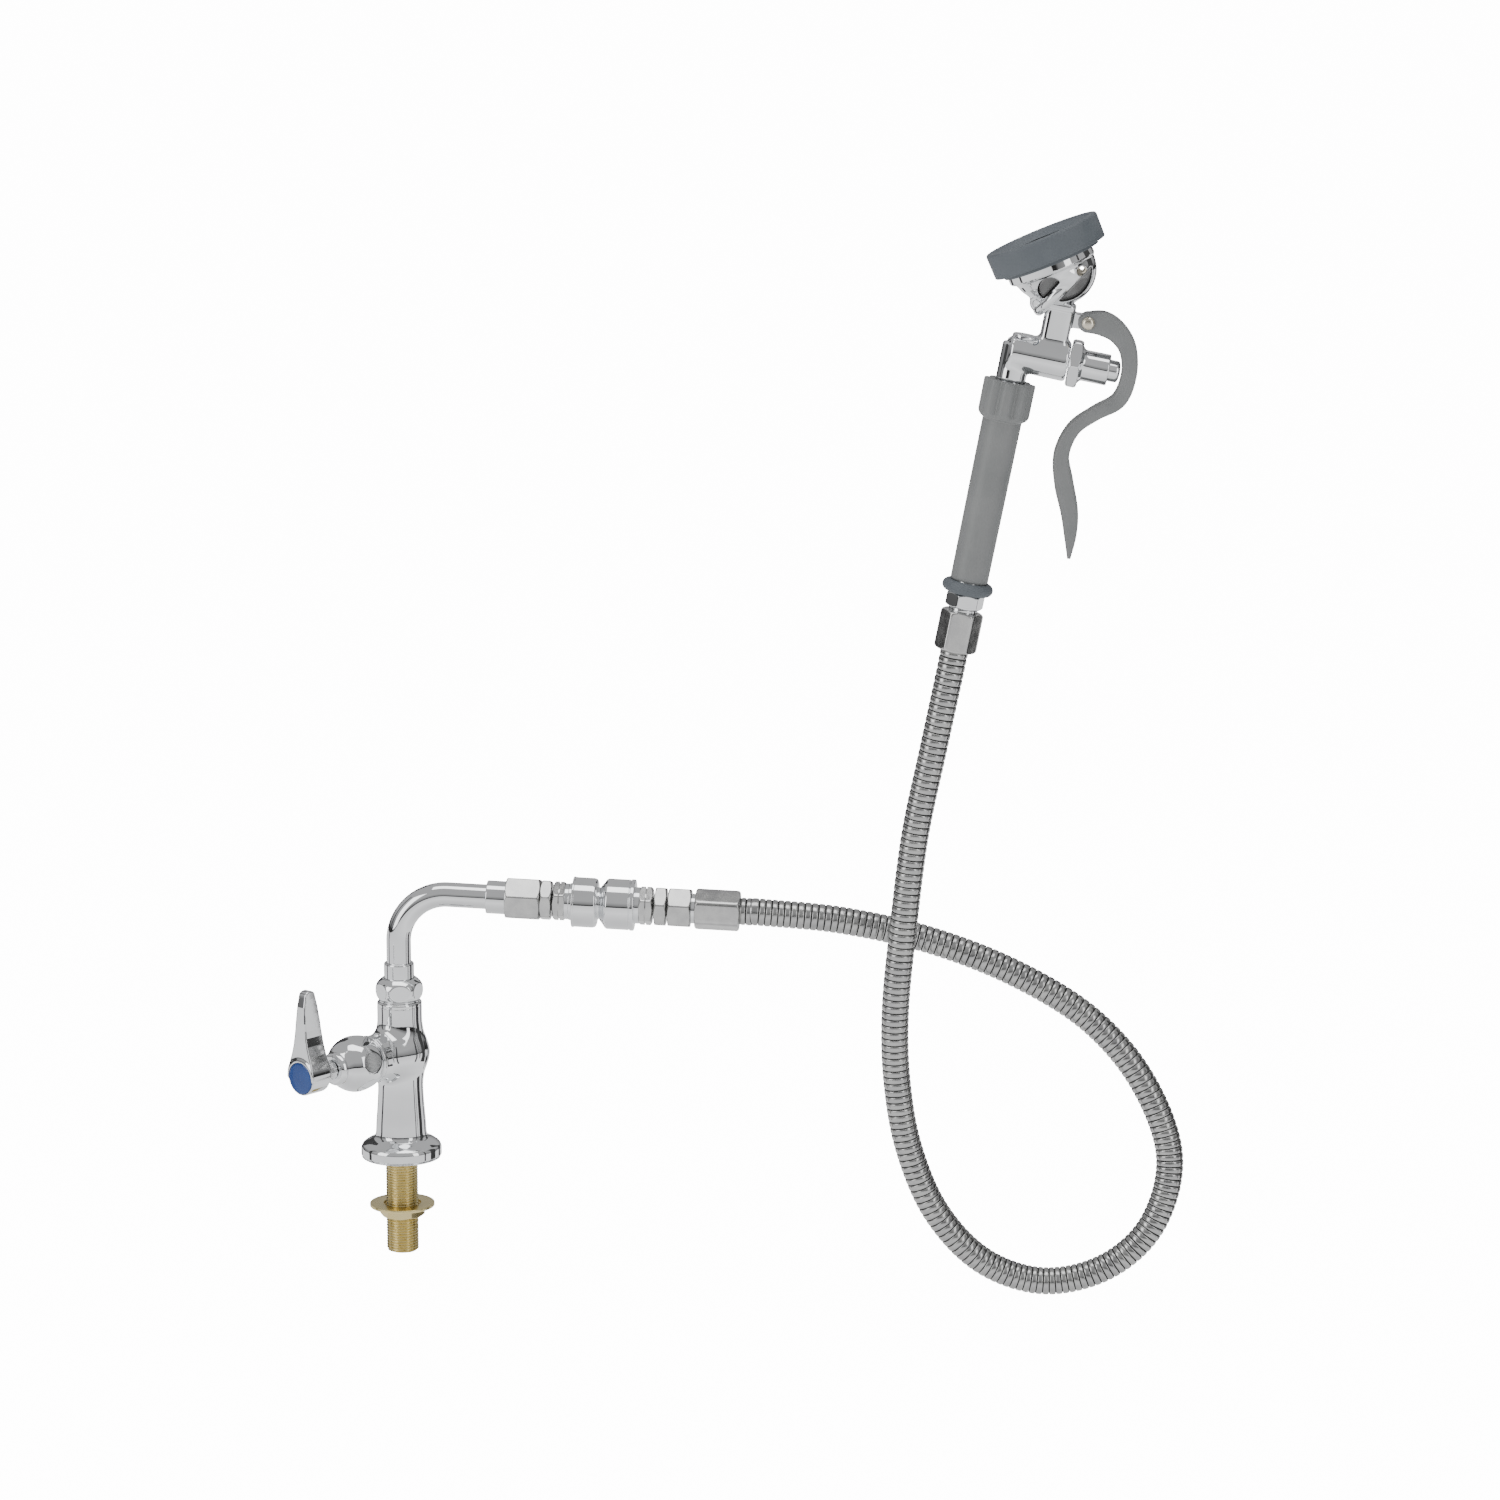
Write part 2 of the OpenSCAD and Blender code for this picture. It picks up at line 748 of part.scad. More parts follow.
module spray_valve_body() {
    color("gainsboro") difference() {
        union() {
            at_spray() cylinder_span(9.25, 0.1, 24);
            at_spray() translate([plug_v, 0, 0]) cylinder_span(8.6, 18, plug_seat);
            at_barrel() cylinder_span(barrel_r, 0, bonnet_v);
            at_spray() translate([neck_v, 0, 0]) cylinder_span(neck_r, 22, neck_top);
            at_spray() rotate([90, 0, 0]) translate([0, 0, -lug_t / 2])
                linear_extrude(lug_t) union() {
                    polygon([[22, 36], [34, 38.6], [pivot[0], pivot[1] - 5],
                        [pivot[0], pivot[1] + 5], [22, 53]]);
                    translate(pivot) circle(r = 5);
                }
        }
        at_spray() cylinder_span(7, -1, 9);
        at_spray() cylinder_span(5.5, 8, barrel_u);
        at_spray() translate([plug_v, 0, 0]) cylinder_span(6.5, 24, 28);
        at_spray() translate([plug_v, 0, 0]) cylinder_span(8.05, plug_seat, 33);
        at_barrel() cylinder_span(7.5, -2, 12);
        at_barrel() cylinder_span(4, 11, 15);
        at_barrel() cylinder_span(9, 14, 26);
        at_barrel() cylinder_span(10.5, 25, bonnet_v + 1);
        at_spray() translate([neck_v, 0, 0]) cylinder_span(5, barrel_u, neck_top + 1);
        at_spray() translate([pivot[0], 0, pivot[1]]) rotate([90, 0, 0])
            cylinder(r = screw_r, h = 20, center = true);
    }
}

module body_plug() {
    color("gainsboro") at_spray() translate([plug_v, 0, 0]) difference() {
        union() {
            cylinder_span(6.4, 25, 27);
            turned([[0, plug_seat], [8, plug_seat], [8, 29], [7, 30], [0, 30]]);
        }
        translate([-5, -0.8, 28.8]) cube([10, 1.6, 2]);
    }
}

module spray_bonnet() {
    color("gainsboro") at_barrel() difference() {
        union() {
            cylinder_span(10.5, 26.2, bonnet_v);
            hex_bar(32.3, bonnet_v, 40, 30);
            turned([[0, 38], [11.5, 38], [11.5, 40], [9.7, 42.2], [9.7, sleeve_v - 0.6],
                [9.2, sleeve_v], [0, sleeve_v]]);
        }
        cylinder_span(rod_r + running, 26, 43);
        cylinder_span(5, 26, 30.5);
        cylinder_span(button_r + running, 42, sleeve_v + 1);
    }
}

module return_spring() {
    color("silver") at_barrel() spring(42.05, button_v - 0.05, 5.2, 0.6, 5);
}

module stem_seal() {
    color("dimgray") at_barrel() ring(4.95, 3.1, 28.2, 30.4);
}

module push_stem() {
    color("gainsboro") at_barrel() {
        cylinder_span(4.6, 6.5, 9);
        cylinder_span(rod_r, 9, button_v);
        turned([[0, button_v], [button_r, button_v], [button_r, 62.6], [6.2, 63.8],
            [4.6, 64.5], [2.4, 64.8], [0, 64.9]]);
    }
}

module seat_washer() {
    color("dimgray") at_barrel() ring(6, rod_r, 9, 11.95);
}

// ---- Squeeze lever --------------------------------------------------------

// Edge points of the lever, on the side given by s
function lever_edge(p, s) = [for (i = [0:len(p) - 1])
    let (a = p[max(i - 1, 0)], b = p[min(i + 1, len(p) - 1)],
        t = unit([b[0] - a[0], b[1] - a[1]]))
    [p[i][0] - s * p[i][2] * t[1], p[i][1] + s * p[i][2] * t[0]]];

module squeeze_lever() {
    line = smooth(lever_line, 3);
    left = lever_edge(line, 1);
    right = lever_edge(line, -1);
    round_end = [for (a = [260:-20:100]) pivot + pivot_r * [cos(a), sin(a)]];
    color("gray") at_spray() difference() {
        rotate([90, 0, 0]) translate([0, 0, -lever_w / 2]) linear_extrude(lever_w)
            polygon(concat(left, [for (k = [len(right) - 1:-1:0]) right[k]], round_end));
        translate([pivot[0] - 9, -lug_t / 2 - 0.3, pivot[1] - 9])
            cube([19, lug_t + 0.6, 20]);
        translate([pivot[0], 0, pivot[1]]) rotate([90, 0, 0])
            cylinder(r = screw_r + running, h = 30, center = true);
    }
}

module lever_screw() {
    side = lever_w / 2;
    color("tan") at_spray() translate([pivot[0], 0, pivot[1]]) rotate([90, 0, 0])
        difference() {
            union() {
                cylinder_span(screw_r, -side - 1, side + 0.1);
                turned([[0, side + 0.1], [4.1, side + 0.1], [3.7, side + 1.4],
                    [2.2, side + 2.1], [0, side + 2.3]]);
                cylinder_span(3.4, -side - 2.6, -side - 0.1);
            }
            for (a = [20, 110])
                rotate([0, 0, a]) translate([-2.4, -0.45, side + 1]) cube([4.8, 0.9, 3]);
        }
}

// ---- Spray head -----------------------------------------------------------

module spray_head() {
    color("gainsboro") difference() {
        union() {
            at_head() turned([[0, 8], [12, 10], [18.5, 13], [23, 17.5], [26, 23],
                [rim_r, bumper_low], [rim_r, rim_end], [0, rim_end]]);
            at_spray() translate([hood[0], 0, hood[1]]) sphere(r = hood_r);
            at_spray() translate([rim_band[0], 0, rim_band[1]])
                rotate([0, rim_band_turn, 0]) cylinder_span(19.3, -2, 2);
            at_spray() translate([neck_v, 0, 0]) cylinder_span(7.6, neck_top, 66);
        }
        at_head() cylinder_span(face_r, 30, rim_end + 1);
        at_head() cylinder_span(rim_r + 10, rim_end + 1, 60);
        at_spray() translate([neck_v, 0, 0]) cylinder_span(neck_r + 0.1, 40, neck_top);
        at_spray() translate([neck_v, 0, 0]) cylinder_span(jet_r, neck_top - 1, 61);
        at_spray() translate([neck_v, 0, 58]) rotate([0, -head_tilt, 0])
            cylinder_span(jet_r, 0, 30);
        for (side = [-1, 1])
            at_spray() hood_pocket(side);
        at_spray() translate([eye[0], 0, eye[1]]) rotate([90, 0, 0])
            cylinder(r = eye_r, h = 30, center = true);
    }
}

// Round recess in one side of the hood, beyond the band across it
module hood_pocket(side) {
    intersection() {
        translate([hood[0], side * 13.5, hood[1]]) rotate([90, 0, 0])
            cylinder(r = hood_r - 3, h = 20, center = true);
        translate([rim_band[0], 0, rim_band[1]]) rotate([0, rim_band_turn, 0])
            translate([-40, -40, 6.5]) cube([80, 80, 40]);
    }
}

module spray_disc() {
    color("gainsboro") at_head() difference() {
        union() {
            cylinder_span(face_r, 39.6, 41.6);
            cylinder_span(5, 33, 39.6);
        }
        cylinder_span(1.9, 32, 43);
        for (row = [1:3], k = [0:6 * row - 1])
            rotate([0, 0, 60 * k / row]) translate([6 * row + 1.5, 0, 39])
                cylinder(r = 0.8, h = 4, $fn = 16);
    }
}

module face_screw() {
    color("gainsboro") at_head() difference() {
        union() {
            cylinder_span(1.9, 34, 41.6);
            turned([[0, 41.6], [4, 41.6], [3.4, 43.2], [0, 43.8]]);
        }
        translate([-4.5, -0.5, 43]) cube([9, 1, 3]);
    }
}

module spray_bumper() {
    color("slategray") at_head() turned([[rim_r, bumper_low], [30.8, bumper_low],
        [30.8, 30.8], [bumper_r - 0.6, 30.8], [bumper_r, 31.5],
        [bumper_r + 0.4, bumper_high - 1], [bumper_r - 0.6, bumper_high],
        [bumper_r - 4.5, bumper_high], [bumper_r - 5.5, bumper_high - 1.5],
        [25.4, rim_end + 1.4], [24.2, rim_end + 0.1], [rim_r, rim_end + 0.1]]);
}

faucet_body();
mounting_shank();
deck_washer();
lock_nut();
valve_bonnet();
bonnet_collar();
cartridge_body();
fixed_disc();
cartridge_gasket();
packing_nut();
swivel_washer();
lever_handle();
handle_screw();
index_button();
valve_stem();
stem_o_ring();
turning_disc();
arm_tube();
arm_collar();
swivel_o_rings();
arm_end_sleeve();
coupling_hex();
inlet_nipple();
check_inlet_adapter();
check_inlet_housing();
check_vent_ring();
vent_diaphragm();
check_outlet_housing();
check_outlet_adapter();
outlet_nipple();
first_check_spring();
second_check_spring();
first_check_poppet();
second_check_poppet();
hose_nut();
hose_tail();
hose_ferrule_inlet();
hose_armour();
hose_liner();
hose_ferrule_spray();
hose_swivel_tail();
hose_swivel_nut();
hose_washer();
grip_ring();
grip();
handle_tube();
spray_valve_body();
body_plug();
spray_bonnet();
return_spring();
lever_screw();
spray_head();
spray_disc();
face_screw();
spray_bumper();
squeeze_lever();
push_stem();
stem_seal();
seat_washer();
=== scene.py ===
"""Looks of the pre-rinse faucet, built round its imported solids.

Lengths inside the builders are millimetres in a local frame: along the valve stem, the
swivel arm, the grip, the push stem or the spray face. A frame's matrix takes them to
metres in the row frame.
"""
import json
import math

import bpy
import numpy as np
from mathutils import Matrix, Vector


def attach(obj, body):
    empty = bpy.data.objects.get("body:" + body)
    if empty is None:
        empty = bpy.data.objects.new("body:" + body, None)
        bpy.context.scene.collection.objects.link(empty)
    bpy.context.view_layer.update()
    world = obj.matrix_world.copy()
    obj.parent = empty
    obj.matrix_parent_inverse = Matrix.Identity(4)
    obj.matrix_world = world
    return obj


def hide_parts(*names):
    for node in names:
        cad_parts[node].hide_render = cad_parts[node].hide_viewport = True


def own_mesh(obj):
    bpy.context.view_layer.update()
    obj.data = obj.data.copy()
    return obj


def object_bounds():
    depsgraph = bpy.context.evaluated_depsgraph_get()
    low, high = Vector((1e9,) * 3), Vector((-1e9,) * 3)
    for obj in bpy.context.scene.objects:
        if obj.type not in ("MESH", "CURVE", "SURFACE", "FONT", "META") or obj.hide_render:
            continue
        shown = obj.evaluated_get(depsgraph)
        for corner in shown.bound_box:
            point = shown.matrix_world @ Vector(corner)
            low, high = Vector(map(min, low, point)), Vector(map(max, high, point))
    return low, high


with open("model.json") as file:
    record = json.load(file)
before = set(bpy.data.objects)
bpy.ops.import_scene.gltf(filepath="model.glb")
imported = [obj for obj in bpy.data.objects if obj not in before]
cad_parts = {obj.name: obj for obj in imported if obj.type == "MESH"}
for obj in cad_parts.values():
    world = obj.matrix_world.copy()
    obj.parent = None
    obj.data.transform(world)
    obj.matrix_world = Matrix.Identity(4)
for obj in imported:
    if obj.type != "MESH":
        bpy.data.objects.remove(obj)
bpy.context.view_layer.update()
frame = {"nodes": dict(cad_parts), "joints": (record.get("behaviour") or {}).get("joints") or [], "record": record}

MM = 0.001
RECORD = frame["record"]
JOINTS = {j["name"]: j for j in frame["joints"]}
NODE_BODY = {n: b for b, nodes in RECORD["behaviour"]["bodies"].items() for n in nodes}
NODE_SLOT = {s["node"]: s["material_slot"] for s in RECORD["subparts"]}

# ---------------------------------------------------------------- frames


def placed(origin, *turns):
    """Matrix from millimetres in a local frame to metres in the row frame."""
    m = Matrix.Translation(Vector(origin) * MM)
    for angle, axis in turns:
        m = m @ Matrix.Rotation(math.radians(angle), 4, axis)
    return m @ Matrix.Scale(MM, 4)


def shifted(base, offset, angle=0.0, axis="Y"):
    """The local frame base, moved by offset millimetres and turned."""
    return base @ Matrix.Translation(Vector(offset)) @ Matrix.Rotation(
        math.radians(angle), 4, axis)


BEND_R, BEND_Z, ARM_DROP, ARM_LEAD = 31.0, 143.1, 2.4, 25.0
SWEEP = math.radians(90 + ARM_DROP)
ARM_DIR = Vector((math.sin(SWEEP), 0, math.cos(SWEEP)))
BEND_END = Vector((BEND_R * (1 - math.cos(SWEEP)), 0, BEND_Z + BEND_R * math.sin(SWEEP)))
ARM_START = BEND_END + ARM_DIR * ARM_LEAD
GRIP_TILT, GRIP_TOP = 11.0, Vector((388.6, -35, 512))
GRIP_DIR = Vector((math.sin(math.radians(GRIP_TILT)), 0, math.cos(math.radians(GRIP_TILT))))
VALVE_UP = 70
STEM = JOINTS["valve_turn"]
STEM_TURN = math.degrees(math.atan2(STEM["axis"][1], STEM["axis"][0]))

BASE = placed((0, 0, 0))
VALVE = placed([c / MM for c in STEM["pos_m"]], (STEM_TURN, "Z"), (90, "Y"))
ARM = placed(ARM_START, (90 + ARM_DROP, "Y"))
GRIP = placed(GRIP_TOP, (GRIP_TILT, "Y"))
BARREL_UP, PLUG_OUT, NECK_OUT = 18.5, 3.7, 21
BARREL = shifted(GRIP, (0, 0, BARREL_UP), 90)
HEAD_ROOT, HEAD_TILT = (25.8, 53.5), 33.5
HEAD = shifted(GRIP, (HEAD_ROOT[0], 0, HEAD_ROOT[1]), -HEAD_TILT)
PIVOT, HOOD, EYE = (39.6, 45.1), (17, 73.5), (29, 76.7)
BAND, BAND_TILT = (17.5, 61.1), 121.3

# Radii that several pieces share, and the hexagons' widths across their corners
THREAD_R, WATERWAY_R, TUBE_R = 9, 6.6, 7.95
HEX_LARGE, HEX_SMALL, HEX_ADAPTER = 29.3, 27.5, 26
HEX_LOCKNUT, HEX_PACKING, HEX_BONNET = 29.6, 32, 38.6
HEX_SWIVEL, HEX_SPRAY_BONNET = 24.4, 32.3

# ---------------------------------------------------------------- camera


def make_camera():
    data = bpy.data.cameras.new("camera")
    data.lens, data.sensor_width = 120, 36
    data.clip_start, data.clip_end = 0.1, 50
    cam = bpy.data.objects.new("camera", data)
    bpy.context.scene.collection.objects.link(cam)
    cam.location = (0.4423, -3.0946, 0.9023)
    cam.rotation_euler = (math.radians(90 - 11.5), 0, math.radians(4))
    bpy.context.scene.camera = cam


make_camera()

# ---------------------------------------------------------------- materials


def node_of(tree, kind, **values):
    """New shader node, with its settings and unlinked inputs set by name."""
    node = tree.nodes.new(kind)
    for key, value in values.items():
        if hasattr(node, key):
            setattr(node, key, value)
        else:
            node.inputs[key.replace("_", " ")].default_value = value
    return node


# The part of a noise texture's range in which most of its values fall
NOISE_SPAN = 0.35, 0.65


def surface(name, shades, rough, metallic=1.0, patch=60, grain=900, bump=0.05,
            bump_depth=0.00005, rings=None, coat=0.0):
    """Procedural material: patches mottle the shades, both noises the roughness.

    The fine grain also makes the bump. rings is (axis, scale, depth) of the turned
    machining marks, where there are any.
    """
    mat = bpy.data.materials.new(name)
    mat.use_nodes = True
    tree = mat.node_tree
    link = tree.links.new
    shader = tree.nodes["Principled BSDF"]
    shader.inputs["Metallic"].default_value = metallic
    shader.inputs["Coat Weight"].default_value = coat
    place = node_of(tree, "ShaderNodeTexCoord")
    patches = node_of(tree, "ShaderNodeTexNoise", Scale=patch, Detail=3.0)
    grains = node_of(tree, "ShaderNodeTexNoise", Scale=grain, Detail=4.0)
    link(place.outputs["Object"], patches.inputs["Vector"])
    link(place.outputs["Object"], grains.inputs["Vector"])
    ramp = node_of(tree, "ShaderNodeValToRGB")
    low, high = ramp.color_ramp.elements
    low.position, high.position = NOISE_SPAN
    low.color = (*shades[0], 1)
    high.color = (*shades[1], 1)
    link(patches.outputs["Fac"], ramp.inputs["Fac"])
    link(ramp.outputs["Color"], shader.inputs["Base Color"])
    halved = node_of(tree, "ShaderNodeMath", operation="MULTIPLY")
    halved.inputs[1].default_value = 0.5
    link(patches.outputs["Fac"], halved.inputs[0])
    mean = node_of(tree, "ShaderNodeMath", operation="MULTIPLY_ADD")
    mean.inputs[1].default_value = 0.5
    link(grains.outputs["Fac"], mean.inputs[0])
    link(halved.outputs[0], mean.inputs[2])
    spread = node_of(tree, "ShaderNodeMapRange", From_Min=NOISE_SPAN[0],
                     From_Max=NOISE_SPAN[1], To_Min=rough[0], To_Max=rough[1])
    link(mean.outputs[0], spread.inputs["Value"])
    link(spread.outputs["Result"], shader.inputs["Roughness"])
    dent = node_of(tree, "ShaderNodeBump", Strength=bump, Distance=bump_depth)
    link(grains.outputs["Fac"], dent.inputs["Height"])
    if rings:
        axis, scale, depth = rings
        wave = node_of(tree, "ShaderNodeTexWave", wave_type="RINGS",
                       rings_direction=axis, Scale=scale, Distortion=0.6, Detail=2.0)
        link(place.outputs["Object"], wave.inputs["Vector"])
        marks = node_of(tree, "ShaderNodeBump", Strength=depth, Distance=0.00006)
        link(wave.outputs["Fac"], marks.inputs["Height"])
        link(dent.outputs["Normal"], marks.inputs["Normal"])
        link(marks.outputs["Normal"], shader.inputs["Normal"])
    else:
        link(dent.outputs["Normal"], shader.inputs["Normal"])
    return mat


def grey(value):
    return (value, value, value)


MATERIALS = {
    "chrome": surface("chrome", ((0.82, 0.83, 0.84), (0.87, 0.88, 0.89)), (0.025, 0.06),
                      patch=45, grain=700, bump=0.012),
    "plated_brass": surface("plated_brass", (grey(0.50), (0.60, 0.60, 0.59)), (0.13, 0.24),
                            patch=160, grain=2600, bump=0.12),
    "brass": surface("brass", ((0.72, 0.60, 0.28), (0.79, 0.67, 0.35)), (0.2, 0.32),
                     grain=1800, rings=("Z", 260, 0.08)),
    "hose_steel": surface("hose_steel", (grey(0.43), (0.51, 0.51, 0.50)), (0.16, 0.26),
                          patch=90, grain=2200, bump=0.10),
    # Near-black steel for the hose's grooves: painted shade between the ridges
    "hose_groove_shade": surface("hose_groove_shade", (grey(0.05), grey(0.09)), (0.4, 0.55)),
    # Dark grey metal for the spray head's pockets: painted shade, on a rougher, bumpier finish
    "pocket_shade": surface("pocket_shade", (grey(0.20), grey(0.30)), (0.22, 0.36), patch=120,
                           grain=1600, bump=0.2),
    "spring_steel": surface("spring_steel", (grey(0.5), grey(0.6)), (0.2, 0.3)),
    "ceramic": surface("ceramic", (grey(0.8), grey(0.86)), (0.1, 0.2), metallic=0.0),
    "white_plastic": surface("white_plastic", (grey(0.75), grey(0.8)), (0.35, 0.5),
                             metallic=0.0),
    "black_rubber": surface("black_rubber", (grey(0.03), grey(0.045)), (0.5, 0.7),
                            metallic=0.0, bump=0.1),
    "gray_rubber": surface("gray_rubber", ((0.112, 0.128, 0.144), (0.130, 0.146, 0.162)),
                           (0.5, 0.66), metallic=0.0, patch=70, grain=2500, bump=0.16,
                           bump_depth=0.00006),
    "gray_plastic": surface("gray_plastic", ((0.222, 0.230, 0.230), (0.250, 0.257, 0.257)),
                            (0.36, 0.5), metallic=0.0, patch=50, grain=2400, bump=0.10),
    "blue_plastic": surface("blue_plastic", ((0.010, 0.055, 0.26), (0.014, 0.070, 0.30)),
                            (0.22, 0.34), metallic=0.0, patch=90, grain=1200, coat=0.3),
    "nickel": surface("nickel", ((0.70, 0.64, 0.52), (0.78, 0.72, 0.60)), (0.14, 0.26),
                      patch=300, grain=2500, bump=0.12),
}
FLOOR_MATERIAL = surface("floor_paint", (grey(0.86), grey(0.88)), (0.7, 0.85), metallic=0.0,
                         patch=3, grain=80, bump=0.02)
FLOOR_GLOW = 14.0
floor_inputs = FLOOR_MATERIAL.node_tree.nodes["Principled BSDF"].inputs
floor_inputs["Emission Color"].default_value = (1, 1, 1, 1)
floor_inputs["Emission Strength"].default_value = FLOOR_GLOW

# ---------------------------------------------------------------- mesh builders

CREASE = math.radians(32)


def stands_for(obj, *nodes):
    """obj replaces these solids, rides on their body and takes the first one's finish."""
    first = nodes[0]
    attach(obj, NODE_BODY[first])
    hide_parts(*nodes)
    if not obj.data.materials:
        obj.data.materials.append(MATERIALS[NODE_SLOT[first]])


def new_mesh(name, points, faces, matrix, crease=CREASE):
    """Object from local points and faces, smooth but for edges sharper than crease."""
    mesh = bpy.data.meshes.new(name)
    mesh.from_pydata([tuple(p) for p in points], [], [tuple(f) for f in faces])
    mesh.transform(matrix)
    mesh.polygons.foreach_set("use_smooth", [True] * len(mesh.polygons))
    if crease is not None:
        mesh.set_sharp_from_angle(angle=crease)
    mesh.validate()
    obj = bpy.data.objects.new(name, mesh)
    bpy.context.scene.collection.objects.link(obj)
    return obj


def ring_faces(rings, n, closed):
    """Quads between consecutive rings of n points, and back to the first if closed."""
    faces = []
    last = rings if closed else rings - 1
    for i in range(last):
        a, b = i * n, ((i + 1) % rings) * n
        for k in range(n):
            m = (k + 1) % n
            faces.append((a + k, b + k, b + m, a + m))
    return faces


def capped(rings, n):
    """Faces of a tube of n-point rings, closed at both ends."""
    last = (rings - 1) * n
    return ([f[::-1] for f in ring_faces(rings, n, False)] + [list(range(n))]
            + [[last + k for k in reversed(range(n))]])


def headings(line):
    """Direction of the line at each of its points."""
    last = len(line) - 1
    return [(line[min(i + 1, last)] - line[max(i - 1, 0)]).normalized()
            for i in range(last + 1)]


def round_bar(name, line, ways, r, across, n, matrix):
    """Bar of radius r along a line, with its direction at each point in ways."""
    points = []
    for p, way in zip(line, ways):
        side = way.cross(Vector(across)).normalized()
        up = way.cross(side)
        for k in range(n):
            a = 2 * math.pi * k / n
            points.append(p + (side * math.cos(a) + up * math.sin(a)) * r)
    return new_mesh(name, points, capped(len(line), n), matrix)


def softened(outline, size):
    """Outline of (radius, height) points with each corner off the axis rounded."""
    result = []
    n, steps = len(outline), 3
    for i, corner in enumerate(outline):
        p = Vector(corner)
        if p.x < 0.01:
            result.append(tuple(p))
            continue
        before, after = Vector(outline[i - 1]) - p, Vector(outline[(i + 1) % n]) - p
        cut = min(size, before.length * 0.45, after.length * 0.45)
        if cut < 1e-4 or before.angle(after) > math.radians(165):
            result.append(tuple(p))
            continue
        a, b = p + before.normalized() * cut, p + after.normalized() * cut
        for k in range(steps + 1):
            t = k / steps
            result.append(tuple(a * (1 - t) ** 2 + p * 2 * t * (1 - t) + b * t * t))
    return result


def turned(name, outline, matrix, soft=0.3, n=96):
    """Solid of revolution from a closed outline of (radius, height) points."""
    outline = softened(outline, soft)
    angle = np.arange(n) * 2 * math.pi / n
    points, rings = [], []
    for r, z in outline:
        if r < 0.01:
            rings.append([len(points)])
            points.append((0, 0, z))
        else:
            rings.append(list(range(len(points), len(points) + n)))
            points.extend(zip(r * np.cos(angle), r * np.sin(angle), [z] * n))
    faces = []
    for i, low in enumerate(rings):
        high = rings[(i + 1) % len(rings)]
        if len(low) == 1 and len(high) == 1:
            continue
        for k in range(n):
            m = (k + 1) % n
            if len(low) == 1:
                faces.append((low[0], high[m], high[k]))
            elif len(high) == 1:
                faces.append((low[k], low[m], high[0]))
            else:
                faces.append((low[k], low[m], high[m], high[k]))
    return new_mesh(name, points, faces, matrix)


def end_levels(z0, z1, reach=2.4, middle=6):
    """Heights from z0 to z1 that crowd towards both ends."""
    steps = [0, 0.08, 0.2, 0.4, 0.65, 0.95, 1.3, 1.8, reach]
    steps = [s for s in steps if s < (z1 - z0) / 2]
    inner = np.linspace(z0 + steps[-1], z1 - steps[-1], middle)[1:-1]
    return [z0 + s for s in steps] + list(inner) + [z1 - s for s in reversed(steps)]


def faceted(name, levels, radius, matrix, bore=None, n=180, crease=CREASE):
    """Solid whose outer radius is radius(angle, z), with an optional (radius, z) bore."""
    angle = np.arange(n) * 2 * math.pi / n
    rings = [(radius(angle, z), z) for z in levels]
    if bore:
        rings += [(np.full(n, r), z) for r, z in bore]
    points = [(r * math.cos(a), r * math.sin(a), z)
              for rs, z in rings for r, a in zip(rs, angle)]
    faces = [f[::-1] for f in ring_faces(len(rings), n, bool(bore))]
    if not bore:
        for first, step in ((0, -1), ((len(rings) - 1) * n, 1)):
            faces.append([first + k for k in range(n)][::step])
    return new_mesh(name, points, faces, matrix, crease)


def flats_radius(angle, corners, turn=0.0):
    """Radius of a regular hexagon of that width across its corners."""
    step = 2 * math.pi / 6
    local = (angle - math.radians(turn)) % step - step / 2
    return corners / 2 * math.cos(step / 2) / np.cos(local)


def soft_min(a, b, k):
    """The smaller of a and b, blended over the width k."""
    h = np.clip(0.5 + 0.5 * (b - a) / k, 0, 1)
    return b * (1 - h) + a * h - k * h * (1 - h)


def soft_max(a, b, k):
    return -soft_min(-a, -b, k)


# Chamfer of a hexagon's ends: how steep it is, and its end face as a share of the flats
CHAMFER_SLOPE, CHAMFER_FACE = 1.7, 0.97


def hex_radius(corners, z0, z1, turn=0.0, groove=None):
    """Outer radius of a hexagon with chamfered ends, between z0 and z1."""
    flat = corners / 2 * math.cos(math.pi / 6)

    def radius(angle, z):
        edge = min(z - z0, z1 - z)
        cone = flat * CHAMFER_FACE + edge * CHAMFER_SLOPE
        r = soft_min(flats_radius(angle, corners, turn), corners / 2 - 0.12, 0.3)
        r = soft_min(r, np.full_like(r, cone), 0.35)
        if groove and groove[0] < z < groove[1]:
            r = np.minimum(r, groove[2])
        return r

    return radius


def hexagon(name, corners, z0, z1, bore_r, matrix, turn=0.0, groove=None):
    """Hexagonal nut or coupling with a plain bore."""
    levels = end_levels(z0, z1)
    if groove:
        g0, g1, _ = groove
        levels = sorted(levels + [g0 - 0.01, g0 + 0.01, g1 - 0.01, g1 + 0.01])
    return faceted(name, levels, hex_radius(corners, z0, z1, turn, groove), matrix,
                   bore=[(bore_r, z1), (bore_r, z0)])


def curve_through(points, steps):
    """Smooth line through all the points, with steps from each to the next."""
    pts = [Vector(p) for p in points]
    line = []
    for i in range(len(pts) - 1):
        a, b = pts[max(i - 1, 0)], pts[i]
        c, d = pts[i + 1], pts[min(i + 2, len(pts) - 1)]
        for k in range(steps):
            t = k / steps
            line.append(0.5 * (2 * b + (c - a) * t + (2 * a - 5 * b + 4 * c - d) * t * t
                               + (3 * b - 3 * c + d - a) * t ** 3))
    line.append(pts[-1])
    return line


def even_line(points, count):
    """Points evenly spaced along a line, and how far along it each of them is."""
    p = np.array([tuple(q) for q in points])
    gaps = np.linalg.norm(np.diff(p, axis=0), axis=1)
    run = np.concatenate([[0], np.cumsum(gaps)])
    at = np.linspace(0, run[-1], count)
    return np.stack([np.interp(at, run, p[:, i]) for i in range(3)], axis=1), at


